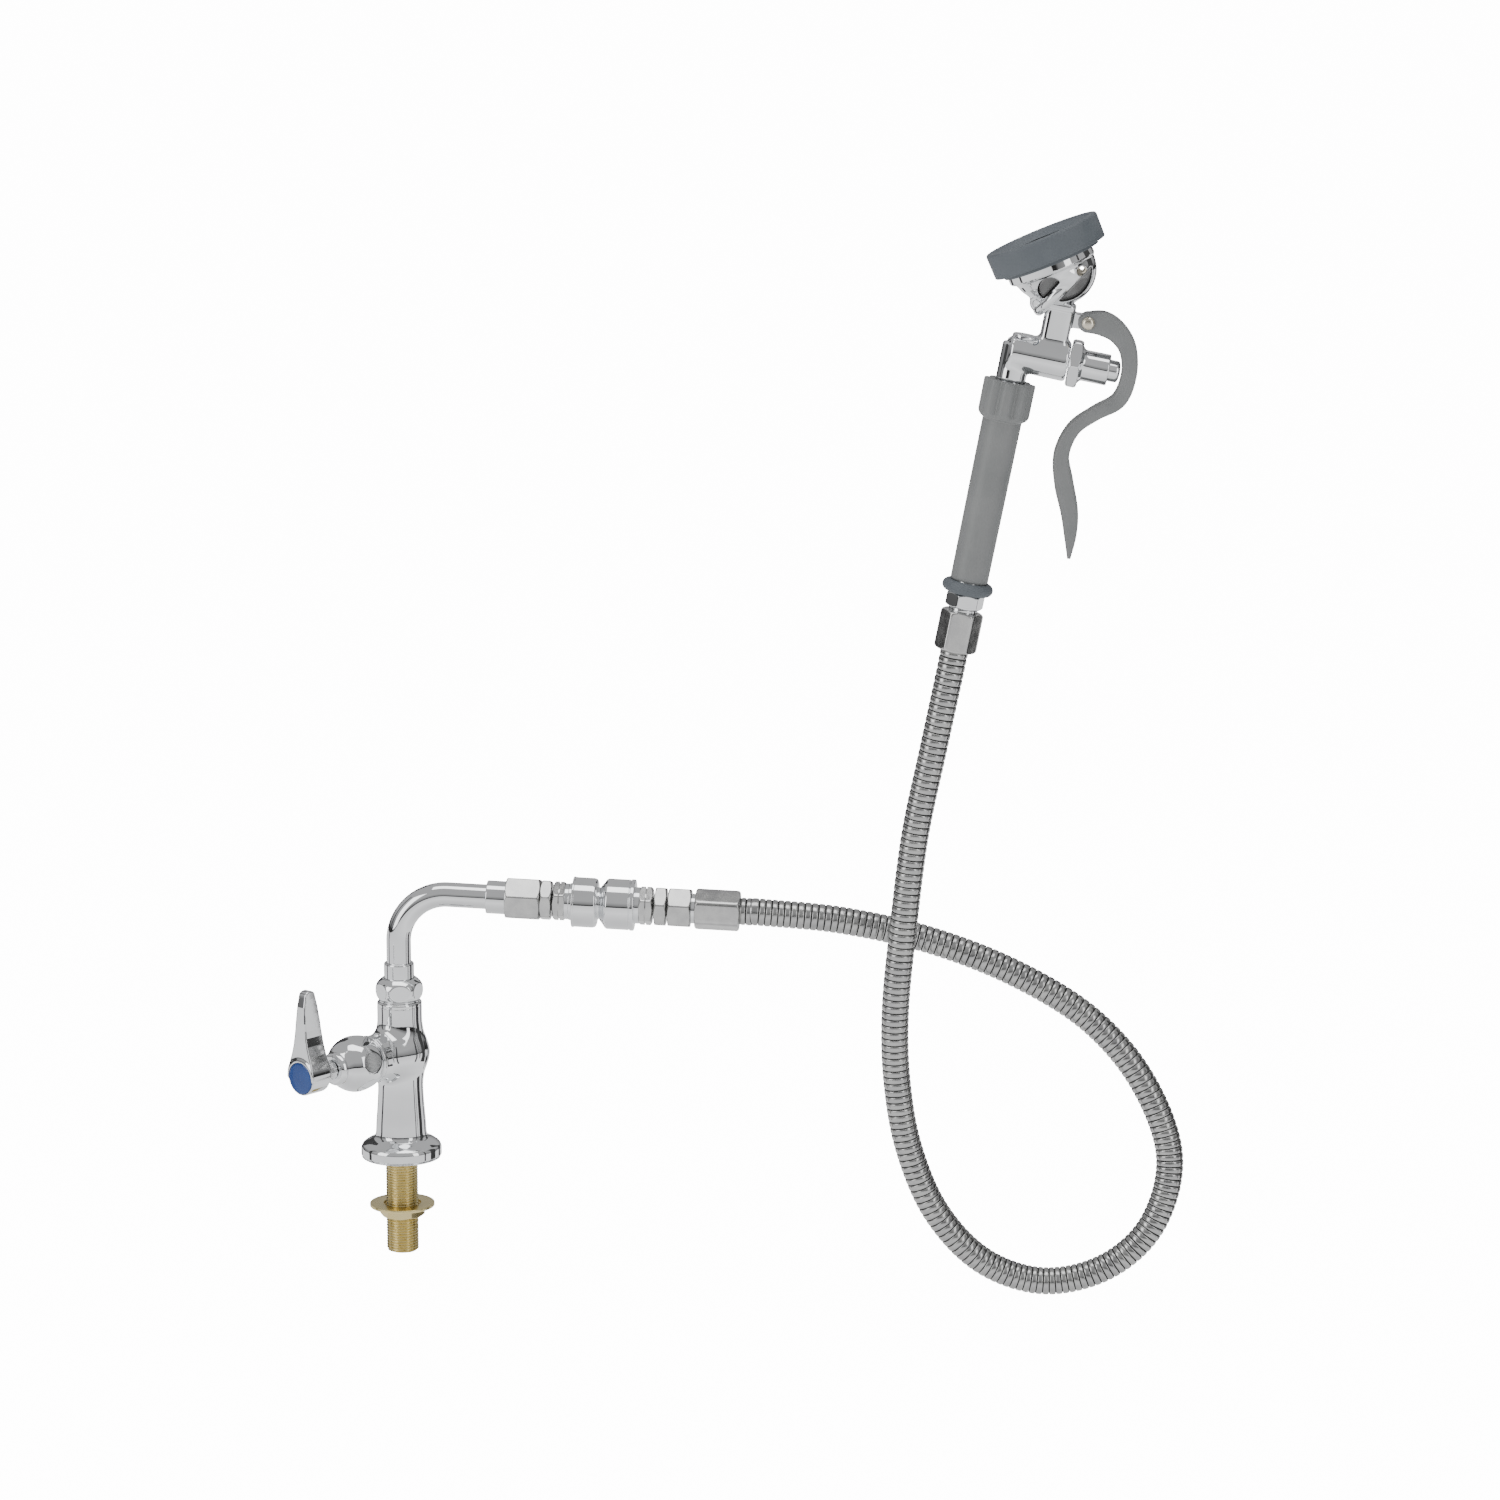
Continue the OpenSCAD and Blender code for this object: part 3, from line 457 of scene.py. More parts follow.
def level_of(field, points):
    return field(points[:, 0], points[:, 1], points[:, 2])


def slope_of(field, points):
    """Gradient of the field at the points, by central differences."""
    eps = 0.02
    out = np.empty_like(points)
    for i in range(3):
        step = np.zeros(3)
        step[i] = eps
        out[:, i] = (level_of(field, points + step) - level_of(field, points - step))
    return out / (2 * eps)


def cell_quads(inside, index, axis):
    """Quads round each grid edge along axis that the surface crosses."""
    order = {0: (1, 2), 1: (0, 2), 2: (0, 1)}[axis]
    low = [slice(None)] * 3
    high = [slice(None)] * 3
    low[axis], high[axis] = slice(0, -1), slice(1, None)
    crossed = inside[tuple(low)] != inside[tuple(high)]
    found = np.argwhere(crossed)
    limit = np.array(index.shape)
    keep = np.ones(len(found), bool)
    for o in order:
        keep &= (found[:, o] > 0) & (found[:, o] < limit[o])
    found = found[keep]

    def cell(du, dv):
        at = found.copy()
        at[:, order[0]] -= du
        at[:, order[1]] -= dv
        return index[at[:, 0], at[:, 1], at[:, 2]]

    quads = np.stack([cell(1, 1), cell(0, 1), cell(0, 0), cell(1, 0)], axis=1)
    outward = inside[found[:, 0], found[:, 1], found[:, 2]]
    if axis == 1:
        outward = ~outward
    quads[~outward] = quads[~outward][:, ::-1]
    return quads


def carved(name, field, low, high, step, matrix):
    """Mesh of the surface where the field is zero, inside being negative."""
    axes = [np.arange(a, b + step, step) for a, b in zip(low, high)]
    grid = np.stack(np.meshgrid(*axes, indexing="ij"), axis=-1).reshape(-1, 3)
    shape = [len(a) for a in axes]
    inside = (level_of(field, grid) < 0).reshape(shape)
    corners = sum(inside[i:shape[0] - 1 + i, j:shape[1] - 1 + j, k:shape[2] - 1 + k]
                  .astype(int) for i in (0, 1) for j in (0, 1) for k in (0, 1))
    active = (corners > 0) & (corners < 8)
    index = np.full(active.shape, -1)
    index[active] = np.arange(active.sum())
    points = (np.argwhere(active) + 0.5) * step + np.array(low)
    for _ in range(6):
        value = level_of(field, points)
        slope = slope_of(field, points)
        move = -slope * (value / np.maximum((slope ** 2).sum(1), 0.05))[:, None]
        size = np.linalg.norm(move, axis=1, keepdims=True)
        points += move * np.minimum(1, 0.6 * step / np.maximum(size, 1e-9))
    quads = np.concatenate([cell_quads(inside, index, a) for a in range(3)])
    obj = new_mesh(name, points, quads.tolist(), matrix, crease=None)
    normals = slope_of(field, points)
    normals /= np.maximum(np.linalg.norm(normals, axis=1, keepdims=True), 1e-9)
    turn = np.array(matrix.to_3x3().normalized())
    obj.data.normals_split_custom_set_from_vertices((normals @ turn.T).tolist())
    return obj


# ---------------------------------------------------------------- hose

HOSE_LOOP = [
    (285, 5, 160), (340, 10, 147), (395, 10, 126), (443, 8, 97), (477, 4, 58),
    (495, 0, 10), (485, -4, -34), (456, -8, -62), (416, -10, -72), (377, -12, -59),
    (347, -14, -27), (329, -17, 16), (321, -20, 62), (320, -25, 110), (325, -30, 166),
    (332, -32, 225), (343, -34, 280)]
FERRULE_END = 162.4
SPRAY_FERRULE = (-171.5, -146.3)
EXIT_RUN = 15
HOSE_R = 8.9
RIDGE_PITCH, RIDGE_DEPTH = 4.45, 1.3


def hose_line():
    """Centre line of the hose, in millimetres of the row frame."""
    straight = (0, EXIT_RUN / 2, EXIT_RUN)
    return curve_through(
        [ARM_START + ARM_DIR * (FERRULE_END + s) for s in straight] + HOSE_LOOP
        + [GRIP_TOP + GRIP_DIR * (SPRAY_FERRULE[0] - s) for s in reversed(straight)], 12)


def make_hose():
    """Interlocked armour: rounded ridges on a helix, closer together in the bend."""
    sides = 36
    ridge = np.array([0, 0.035, 0.07, 0.12, 0.2, 0.34, 0.5, 0.66, 0.8, 0.88, 0.93, 0.965])
    coarse, run = even_line(hose_line(), 900)
    length = run[-1]
    heading = np.gradient(coarse, run, axis=0)
    heading /= np.linalg.norm(heading, axis=1, keepdims=True)
    bend = np.linalg.norm(np.gradient(heading, run, axis=0), axis=1)
    bend = np.convolve(np.pad(bend, 20, "edge"), np.ones(41) / 41, "valid")
    rate = (1 + bend * HOSE_R) / RIDGE_PITCH
    phase = np.concatenate([[0], np.cumsum((rate[1:] + rate[:-1]) / 2 * np.diff(run))])
    turns = round(phase[-1])
    phase *= turns / phase[-1]
    levels = np.append((np.arange(turns)[:, None] + ridge[None]).ravel(), turns)
    at = np.interp(levels, phase, run)
    centre = np.stack([np.interp(at, run, coarse[:, i]) for i in range(3)], axis=1)
    along = np.stack([np.interp(at, run, heading[:, i]) for i in range(3)], axis=1)
    along /= np.linalg.norm(along, axis=1, keepdims=True)
    side = np.cross(along, [0, 1, 0])
    side /= np.linalg.norm(side, axis=1, keepdims=True)
    up = np.cross(along, side)
    angle = np.arange(sides) * 2 * math.pi / sides
    part = np.abs(2 * (levels % 1) - 1)
    fade = np.clip(np.minimum(at, length - at) / 1.5, 0, 1)
    radius = HOSE_R - 0.05 - RIDGE_DEPTH * (0.22 * part ** 2 + 0.78 * part ** 10) * fade
    radius = (radius - (1 - fade) * 0.6)[:, None, None]
    points = (centre[:, None] + radius * (
        np.cos(angle)[None, :, None] * side[:, None]
        + np.sin(angle)[None, :, None] * up[:, None])).reshape(-1, 3)
    hose = new_mesh("hose", points, capped(len(at), sides), BASE, crease=math.radians(70))
    stands_for(hose, "hose_armour", "hose_liner")
    # The faces in the grooves get the near-black steel: painted shade
    hose.data.materials.append(MATERIALS["hose_groove_shade"])
    middle = (levels[1:] + levels[:-1]) / 2 % 1
    groove_shade_faces = np.repeat(np.minimum(middle, 1 - middle) < 0.075, sides).astype(int)
    hose.data.polygons.foreach_set("material_index", np.append(groove_shade_faces, [0, 0]))
    path = [tuple(p * MM) for p in coarse[::6]] + [tuple(coarse[-1] * MM)]
    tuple(path[0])


make_hose()

# ---------------------------------------------------------------- base


def body_radius(z):
    """Outer radius of the body casting at height z."""
    knots = [(-2, 26), (6, 26), (7, 25.8), (8.5, 25.2), (9.5, 24.2), (11, 22), (12.5, 19),
             (13.5, 17.7), (16, 16.5), (24, 16), (37, 15), (48, 14.6), (56, 15.5),
             (61, 17.2), (67, 18.9), (72, 19), (78, 17.4), (83, 15.6), (89, 14.6),
             (94, 14.4), (100.5, 14.4), (101, 14), (101.5, 14), (102, 14.4), (110, 14.4)]
    line = curve_through([(h, r, 0) for h, r in knots], 8)
    return np.interp(z, [p[0] for p in line], [p[1] for p in line])


def valve_axes(x, y, z):
    """Distances along the valve stem, sideways of it and above it."""
    a = math.radians(STEM_TURN)
    return x * math.cos(a) + y * math.sin(a), -x * math.sin(a) + y * math.cos(a), z - VALVE_UP


def body_field(x, y, z):
    """Cast body: turned column with a flange, the valve's boss and the shank's socket."""
    r = np.hypot(x, y)
    column = (r - body_radius(z)) * 0.8
    column = soft_max(column, soft_max(0 - z, z - 104, 0.8), 1.6)
    out, across, up = valve_axes(x, y, z)
    boss = soft_max(np.hypot(across, up) - 15, soft_max(-out, out - 29.3, 0.6), 1.0)
    bead = soft_max(np.hypot(across, up) - 15.6, np.abs(out - 28) - 1.2, 0.8)
    solid = soft_min(column, boss, 6.0)
    solid = soft_min(solid, bead, 0.8)
    vent = np.hypot(out - 21.5, across)
    solid = soft_min(solid, soft_max(vent - 2.7, np.abs(up - 13.6) - 1.9, 0.5), 0.3)
    solid = soft_max(solid, -soft_max(vent - 1.4, 12.8 - up, 0.3), 0.3)
    nose = soft_max(r - 12.5, soft_max(90 - z, z - 108, 0.4), 0.4)
    solid = np.minimum(solid, nose)
    solid = soft_max(solid, 1.6 - np.hypot(r - 25.9, (z - 1.2) * 3), 0.6)
    return soft_max(solid, -soft_max(r - 10.6, z - 12, 0.4), 0.4)


def thread_radius(outer, pitch, depth, low, high):
    """Outer radius of a screw thread that runs out at both ends."""
    def radius(angle, z):
        phase = ((z / pitch) - angle / (2 * math.pi)) % 1
        ridge = np.abs(2 * phase - 1)
        run_out = min(1.0, max(0.0, min(z - low, high - z) / 1.5))
        return outer - depth * np.clip(1.25 - 1.5 * ridge, 0, 1) - (1 - run_out) * depth
    return radius


def make_base():
    body = carved("body_casting", body_field, (-28, -40, -2), (28, 28, 110), 0.8, BASE)
    stands_for(body, "faucet_body")
    levels = list(np.arange(-63, 0.01, 0.22)) + [6, 13.8]
    shank = faceted("threaded_shank", levels,
                    thread_radius(10.4, 1.81, 1.15, -63, 30), BASE,
                    bore=[(6.8, 13.8), (6.8, -62.6), (7.2, -63)], n=96,
                    crease=math.radians(60))
    stands_for(shank, "mounting_shank")
    washer = turned("deck_washer_disc", [(12, -33), (21, -33), (21, -31), (12, -31)],
                    BASE, soft=0.35, n=120)
    stands_for(washer, "deck_washer")
    nut = hexagon("shank_locknut", HEX_LOCKNUT, -39.7, -33.1, 10.4, BASE)
    stands_for(nut, "lock_nut")

    def ball(angle, z):
        knots = [(104, 13), (104.8, 13), (106, 13.9), (107.5, 14.7), (109.5, 15.2),
                 (111.5, 15.3), (113.5, 15.1), (115.5, 14.4), (117.2, 13.1), (118.5, 11.6),
                 (119, 10.9)]
        line = curve_through([(h, r, 0) for h, r in knots], 4)
        r = np.full_like(angle, np.interp(z, [q[0] for q in line], [q[1] for q in line]))
        flats = flats_radius(angle, HEX_PACKING, 10)
        return soft_min(r, flats, 0.25)

    levels = sorted(set(np.round(np.arange(104, 119.01, 0.25), 3)))
    nut = faceted("swivel_packing_nut", levels, ball, BASE,
                  bore=[(9.85, 119), (9.85, 111), (12.6, 111), (12.6, 104)], n=240,
                  crease=math.radians(40))
    stands_for(nut, "packing_nut")


def bonnet_radius(angle, z):
    """Ball of the valve bonnet, with six flats for a wrench."""
    knots = [(29.6, 14.4), (30.3, 14.5), (30.9, 15.8), (32, 16.4), (34, 17.1), (37, 17.7),
             (40, 18), (43, 18), (46, 17.4), (49, 16.2), (52, 14.4), (54.5, 12.2),
             (56, 11), (57, 10.4)]
    line = curve_through([(h, r, 0) for h, r in knots], 4)
    r = np.full_like(angle, np.interp(z, [p[0] for p in line], [p[1] for p in line]))
    return soft_min(r, flats_radius(angle, HEX_BONNET, 12), 0.2)


def make_bonnet():
    levels = list(np.round(np.arange(29.6, 57.01, 0.3), 3))
    ball = faceted("valve_bonnet_ball", levels, bonnet_radius, VALVE,
                   bore=[(8.1, 57), (8.1, 40), (13.5, 40), (13.5, 29.6)], n=240,
                   crease=math.radians(40))
    stands_for(ball, "valve_bonnet")
    collar = turned("stem_collar", [(8, 57), (10.6, 57), (10.9, 58.5), (10.2, 60.2),
                                    (8.8, 61.5), (5.3, 61.5), (5.3, 60.6), (8, 60.6)],
                    VALVE, soft=0.4)
    stands_for(collar, "bonnet_collar")


# The blade of the handle: half width, back and front against the height
BLADE_HALF = ([0, 6, 10, 15, 21, 26, 31, 41, 51, 60],
              [10.8, 10.6, 9.8, 8, 6.3, 5.4, 4.8, 4, 3.4, 3.1])
BLADE_BACK = [0, 24, 36, 46, 52, 60], [73, 73.6, 74.6, 76, 77.5, 79]
BLADE_FRONT = [0, 24, 36, 46, 52, 60], [89, 89, 88.6, 87.8, 86.6, 85]


def handle_field(x, y, z):
    """Lever handle: a hub with a tall blade that narrows from it. -x is up."""
    rise = -x
    hub = soft_max(np.hypot(x, y) - 11.3, soft_max(73 - z, z - 89, 0.6), 1.6)
    half = np.interp(rise, *BLADE_HALF)
    back = np.interp(rise, *BLADE_BACK)
    front = np.interp(rise, *BLADE_FRONT)
    blade = soft_max(np.abs(y) - half, soft_max(back - z, z - front, 1), 1.2)
    tip = np.hypot(rise - 50, z - 82) - 6
    blade = soft_max(blade, soft_max(-rise, np.where(rise > 50, tip, rise - 60), 0.5), 1)
    solid = soft_min(hub, blade, 3.0)
    recess = soft_max(np.hypot(x, y) - 10.2, 86.5 - z, 0.2)
    socket = soft_max(np.hypot(x, y) - 4.5, z - 80, 0.2)
    return soft_max(soft_max(solid, -recess, 0.3), -socket, 0.3)


def make_handle():
    lever = carved("handle_lever", handle_field, (-58, -13, 71), (13, 13, 91), 0.6, VALVE)
    stands_for(lever, "lever_handle")
    button = turned("blue_button", [(0, 86.6), (10.1, 86.6), (10.1, 89.1), (9.3, 89.7),
                                    (5, 89.95), (0, 90)], VALVE, soft=0.5)
    stands_for(button, "index_button")

    def splined(angle, z):
        if z < 62:
            return np.full_like(angle, 5.0)
        return 6.0 + 0.22 * np.cos(12 * angle) * (1 if z < 72.5 else 0)

    levels = [19.2, 61.8, 62.2, 62.6, 64, 66, 68, 70, 72, 72.9]
    stem = faceted("handle_stem", levels, splined, VALVE,
                   bore=[(1.9, 72.9), (1.9, 19.2)], n=120)
    stands_for(stem, "valve_stem")


make_base()
make_bonnet()
make_handle()

# ---------------------------------------------------------------- swivel arm


def make_arm_tube():
    """Bent chrome tube, up from the body and into its end sleeve."""
    steps, sides = 40, 64
    line = [Vector((0, 0, 93.5)), Vector((0, 0, 118)), Vector((0, 0, BEND_Z))]
    for k in range(1, steps + 1):
        a = SWEEP * k / steps
        line.append(Vector((BEND_R * (1 - math.cos(a)), 0, BEND_Z + BEND_R * math.sin(a))))
    line.append(ARM_START + ARM_DIR * 9.8)
    ways = headings(line)
    ways[2], ways[-2] = Vector((0, 0, 1)), ARM_DIR
    tube = round_bar("bent_tube", line, ways, TUBE_R, (0, 1, 0), sides, BASE)
    stands_for(tube, "arm_tube")


def make_chain():
    """Couplings and check valve along the arm, from the tube to the hose."""
    collar = turned("swivel_collar", [(TUBE_R, 93.5), (9.7, 93.5), (9.7, 128.2),
                                      (9.3, 129), (TUBE_R, 129)], BASE, soft=0.3)
    stands_for(collar, "arm_collar")
    sleeve = turned("tube_end_sleeve", [
        (TUBE_R, 0), (10.4, 0), (10.65, 0.6), (10.65, 12.4), (WATERWAY_R, 12.4),
        (WATERWAY_R, 10), (TUBE_R, 10)], ARM, soft=0.3)
    stands_for(sleeve, "arm_end_sleeve")
    for name, node, corners, z0, z1, bore_r, turn in (
            ("long_coupling", "coupling_hex", HEX_LARGE, 12.4, 34.6, THREAD_R, 15),
            ("first_nipple", "inlet_nipple", HEX_SMALL, 34.8, 41.9, WATERWAY_R, 10),
            ("second_nipple", "outlet_nipple", HEX_SMALL, 108, 115.5, WATERWAY_R, 15),
            ("hose_coupling_nut", "hose_nut", HEX_SMALL, 116.6, 131.2, 8.2, 15)):
        stands_for(hexagon(name, corners, z0, z1, bore_r, ARM, turn), node)
    for name, node, z0, z1, turn in (
            ("inlet_grooved_hex", "check_inlet_adapter", 42.9, 51, 2),
            ("outlet_grooved_hex", "check_outlet_adapter", 98, 106.7, 4)):
        middle = (z0 + z1) / 2
        stands_for(hexagon(name, HEX_ADAPTER, z0, z1, WATERWAY_R, ARM, turn,
                           groove=(middle - 0.45, middle + 0.35, 11.2)), node)
    neck = turned("inlet_neck", [(9, 50.6), (11.5, 50.6), (11.5, 53), (11.9, 53.3),
                                 (11.9, 55.3), (9, 55.3)], ARM, soft=0.2)
    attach(neck, "arm")
    neck.data.materials.append(MATERIALS["chrome"])
    neck = turned("outlet_neck", [(9, 95.1), (11.7, 95.1), (11.7, 98.3), (9, 98.3)], ARM,
                  soft=0.2)
    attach(neck, "arm")
    neck.data.materials.append(MATERIALS["chrome"])
    housing = turned("inlet_cylinder", [
        (12, 55.2), (15.9, 55.2), (16.25, 55.6), (16.25, 56.5), (15.95, 56.8),
        (15.95, 68.4), (15.6, 70), (14.8, 70.9), (13.6, 71.3), (10, 71.3), (10, 68.3),
        (12, 68.3)], ARM, soft=0.5)
    stands_for(housing, "check_inlet_housing")
    vent = turned("vent_cone", [(9.2, 71.2), (10.2, 71.2), (10.2, 72.8), (11, 73.2),
                                (13.6, 75.3), (9.2, 75.3)], ARM, soft=0.2)
    stands_for(vent, "check_vent_ring")
    housing = turned("outlet_cylinder", [
        (9, 75.3), (13.6, 75.3), (15.4, 76.5), (16.2, 77.8), (16.2, 91.7), (15.8, 92),
        (15.8, 92.3), (16.5, 92.6), (16.5, 94.6), (16.1, 95.2), (9, 95.2)], ARM, soft=0.4)
    stands_for(housing, "check_outlet_housing")
    tail = turned("hose_shoulder", [(4.5, 126.3), (8.8, 126.3), (8.8, 128.6), (8.15, 128.6),
                                    (8.15, 131.3), (9.6, 131.3), (9.6, 133.8),
                                    (6.3, 133.8), (6.3, 158), (4.5, 158)], ARM, soft=0.3)
    stands_for(tail, "hose_tail")


def ferrule(name, node, z0, z1, matrix):
    """Crimped hexagonal ferrule with rounded ends."""
    r = HEX_SMALL / 2

    def radius(angle, z):
        edge = min(z - z0, z1 - z)
        bulge = r - 2.7 + math.sqrt(max(0.0, 1 - (1 - min(edge / 3.2, 1)) ** 2)) * 2.75
        flats = soft_min(flats_radius(angle, HEX_SMALL),
                         np.full_like(angle, r - 0.3), 0.8)
        return soft_min(flats, np.full_like(flats, bulge), 0.4)

    levels = end_levels(z0, z1, reach=3.2, middle=10)
    obj = faceted(name, levels, radius, matrix, bore=[(6.3, z1), (6.3, z0)])
    stands_for(obj, node)


make_arm_tube()
make_chain()
ferrule("inlet_ferrule", "hose_ferrule_inlet", 133.8, FERRULE_END, ARM)
ferrule("spray_ferrule", "hose_ferrule_spray", *SPRAY_FERRULE, GRIP)

# ---------------------------------------------------------------- spray valve


def grip_radius(angle, z):
    """Grip: a slim tube with an eight-fluted head at the top."""
    slim = np.interp(z, [-127, -126.2, -24.5, -23.6, 0], [11.2, 11.8, 12.3, 12.4, 12.4])
    head = np.interp(z, [-25, -24.2, -23, -21.4, -20, -0.6, 0],
                     [11, 12.6, 14.4, 15.6, 16, 16.1, 15.6])
    wave = (1 - np.cos(8 * angle)) / 2
    flute = 2.9 * np.clip(wave, 0, 1) ** 2.2
    depth = np.clip((z + 24) / 4, 0, 1)
    return soft_max(np.full_like(angle, slim), head - flute * depth, 0.5)


def make_grip():
    levels = sorted(set([-127, -126.6, -126.2, -125] + list(range(-120, -27, 8))
                        + list(np.round(np.arange(-27, -18, 0.4), 2))
                        + [-16, -12, -8, -4, -1.5, -0.8, -0.4, -0.1, 0]))
    grip = faceted("moulded_grip", levels, grip_radius, GRIP,
                   bore=[(9.3, 0), (9.3, -2), (8.2, -2), (8.2, -127)], n=192,
                   crease=math.radians(45))
    stands_for(grip, "grip")
    stands_for(hexagon("swivel_hex_nut", HEX_SWIVEL, -144, -135, 8.3, GRIP, turn=10),
               "hose_swivel_nut")
    tail = turned("swivel_neck", [(4.5, -168), (6.3, -168), (6.3, -146.3), (9, -146.3),
                                  (9, -144.4), (8.2, -144.4), (8.2, -139), (4.5, -139)],
                  GRIP, soft=0.2)
    stands_for(tail, "hose_swivel_tail")
    ring_r, cord_r, ring_up = 12.15, 3.85, -131
    circle = [(ring_r + cord_r * math.cos(a), ring_up + cord_r * math.sin(a))
              for a in np.linspace(0, 2 * math.pi, 28, endpoint=False)]
    stands_for(turned("grip_bumper_ring", circle, GRIP, soft=0), "grip_ring")


def spray_body_field(x, y, z):
    """Cast spray valve: elbow, barrel, neck and the lever's lug. x is towards the lever."""
    pivot_x, pivot_z = PIVOT
    elbow = soft_max(np.hypot(x, y) - 9.25, soft_max(0.2 - z, z - 24, 2), 2)
    shoulder = soft_max(np.hypot(x - 2.6, y) - 9.3, soft_max(14 - z, z - 26.4, 0.8), 1.6)
    barrel = soft_max(np.hypot(y, z - BARREL_UP) - 12.4 + 0.02 * (33 - x),
                      soft_max(-4 - x, x - 32.8, 1.0), 3.0)
    neck = soft_max(soft_max(np.abs(x - NECK_OUT) - 8.9, np.abs(y) - 8.6, 5),
                    soft_max(20 - z, z - 54, 0.8), 1.0)
    waist = soft_max(soft_max(np.abs(x - NECK_OUT) - 9.6, np.abs(y) - 9.2, 5),
                     np.abs(z - 51.5) - 2.0, 1.0)
    lug = soft_max(np.hypot(x - pivot_x, z - pivot_z) - 5.0, np.abs(y) - 3.1, 0.8)
    web = soft_max(soft_max(np.abs(z - pivot_z + 0.05 * (pivot_x - x)) - 4.9,
                            soft_max(24 - x, x - pivot_x, 0.5), 0.8),
                   np.abs(y) - 3.1, 0.8)
    solid = soft_min(soft_min(elbow, shoulder, 1.0), barrel, 2.5)
    solid = soft_min(solid, neck, 3.5)
    solid = soft_min(solid, waist, 0.8)
    solid = soft_min(solid, soft_min(lug, web, 0.5), 1.2)
    bore = soft_max(np.hypot(y, z - BARREL_UP) - 10.5, 26 - x, 0.4)
    return soft_max(solid, -bore, 0.4)


def make_valve_body():
    body = carved("spray_valve_casting", spray_body_field, (-14, -15, -1), (47, 15, 57), 0.6,
                  GRIP)
    stands_for(body, "spray_valve_body")
    plug = turned("top_plug", [(0, 24), (7.4, 24), (7.4, 26.4), (8, 26.6), (8, 29.2),
                               (7.4, 30), (6.4, 30), (5.8, 29), (0, 28.6)],
                  shifted(GRIP, (PLUG_OUT, 0, 0)), soft=0.3)
    stands_for(plug, "body_plug")

    def nut_and_sleeve(angle, z):
        if z <= 40.01:
            return hex_radius(HEX_SPRAY_BONNET, 33, 40, 30)(angle, max(z, 33))
        return np.full_like(angle, np.interp(
            z, [40, 40.6, 41.6, 42.6, 57, 57.5, 57.8], [12, 11.2, 10, 9.7, 9.7, 9.5, 9.1]))

    levels = end_levels(33, 40) + [40.02, 40.3, 40.6, 41, 41.6, 42.2, 42.6, 50, 56.5, 57,
                                   57.3, 57.5, 57.8]
    bonnet = faceted("hex_bonnet", levels, nut_and_sleeve, BARREL,
                     bore=[(6.8, 57.8), (6.8, 42), (3.1, 42), (3.1, 33)])
    stands_for(bonnet, "spray_bonnet")
    stem = turned("push_button", [(0, 6.6), (4.6, 6.6), (4.6, 9), (3, 9), (3, 52), (6.75, 52),
                                  (6.75, 62.4), (6.3, 63.7), (4.8, 64.4), (2.4, 64.8),
                                  (0, 64.9)], BARREL, soft=0.4)
    stands_for(stem, "push_stem")


# Points down the squeeze lever: place in the grip's frame and half thickness
LEVER_LINE = [
    (*PIVOT, 6.4), (49, 46, 7.5), (59, 42, 6.5), (67, 33, 5.5), (70.5, 18, 5),
    (67.5, 2, 5), (55, -9, 4.5), (44, -21, 4.5), (40, -38, 5), (45, -55, 6),
    (52, -72, 5.5), (55.5, -86, 4), (57.5, -100, 1.2)]


def cut_box(obj, low, high, matrix):
    """Cut a box, given in the local frame, out of obj."""
    corners = [(x, y, z) for x in (low[0], high[0]) for y in (low[1], high[1])
               for z in (low[2], high[2])]
    sides = [(0, 1, 3, 2), (4, 6, 7, 5), (0, 4, 5, 1), (2, 3, 7, 6), (0, 2, 6, 4),
             (1, 5, 7, 3)]
    cutter = new_mesh("cutter", corners, sides, matrix, crease=None)
    cut = obj.modifiers.new("slot", "BOOLEAN")
    cut.operation, cut.object, cut.solver = "DIFFERENCE", cutter, "EXACT"
    bpy.context.view_layer.update()
    result = bpy.data.meshes.new_from_object(
        obj.evaluated_get(bpy.context.evaluated_depsgraph_get()))
    obj.modifiers.clear()
    obj.data = result
    obj.data.set_sharp_from_angle(angle=math.radians(40))
    bpy.data.objects.remove(cutter)


def make_lever():
    """Squeeze lever: a rounded bar lofted along its S, forked round the lug."""
    half_width = 7.95
    n = 40
    line = curve_through(LEVER_LINE, 10)
    forward = (line[1] - line[0]).normalized()
    pivot_r = 6.5
    cap = []
    for a in (12, 26, 40, 54, 68, 80):
        spot = line[0] - forward * pivot_r * math.cos(math.radians(a))
        cap.append(Vector((spot.x, spot.y, pivot_r * math.sin(math.radians(a)))))
    line = cap + line
    points = []
    for i, p in enumerate(line):
        t = line[min(i + 1, len(line) - 1)] - line[max(i - 1, 0)]
        t = Vector((t.x, t.y)).normalized()
        normal = Vector((-t.y, t.x))
        for k in range(n):
            a = 2 * math.pi * k / n
            c, s = math.cos(a), math.sin(a)
            u = math.copysign(abs(c) ** 0.34, c) * half_width
            w = math.copysign(abs(s) ** 0.62, s) * p.z
            points.append((p.x + normal.x * w, u, p.y + normal.y * w))
    lever = new_mesh("lever_squeeze", points, capped(len(line), n), GRIP,
                     crease=math.radians(50))
    cut_box(lever, (30.6, -3.5, 36.1), (49.6, 3.5, 56.1), GRIP)
    stands_for(lever, "squeeze_lever")
    screw = turned("pivot_screw", [(0, 7.9), (4.1, 7.9), (3.9, 8.8), (3.1, 9.7), (2, 10.2),
                                   (0, 10.3)], shifted(GRIP, (PIVOT[0], 0, PIVOT[1]), 90, "X"),
                   soft=0.3, n=48)
    stands_for(screw, "lever_screw")


def head_radius(n):
    """Radius of the spray head's dome at the distance n along the face's axis."""
    return np.interp(n, [-4, 2, 6, 10, 14, 18, 21, 22.5, 23.5, 24.5, 42],
                     [5, 8, 12.5, 16.5, 20, 22.5, 23.6, 24.4, 26.6, 27.4, 27.4])


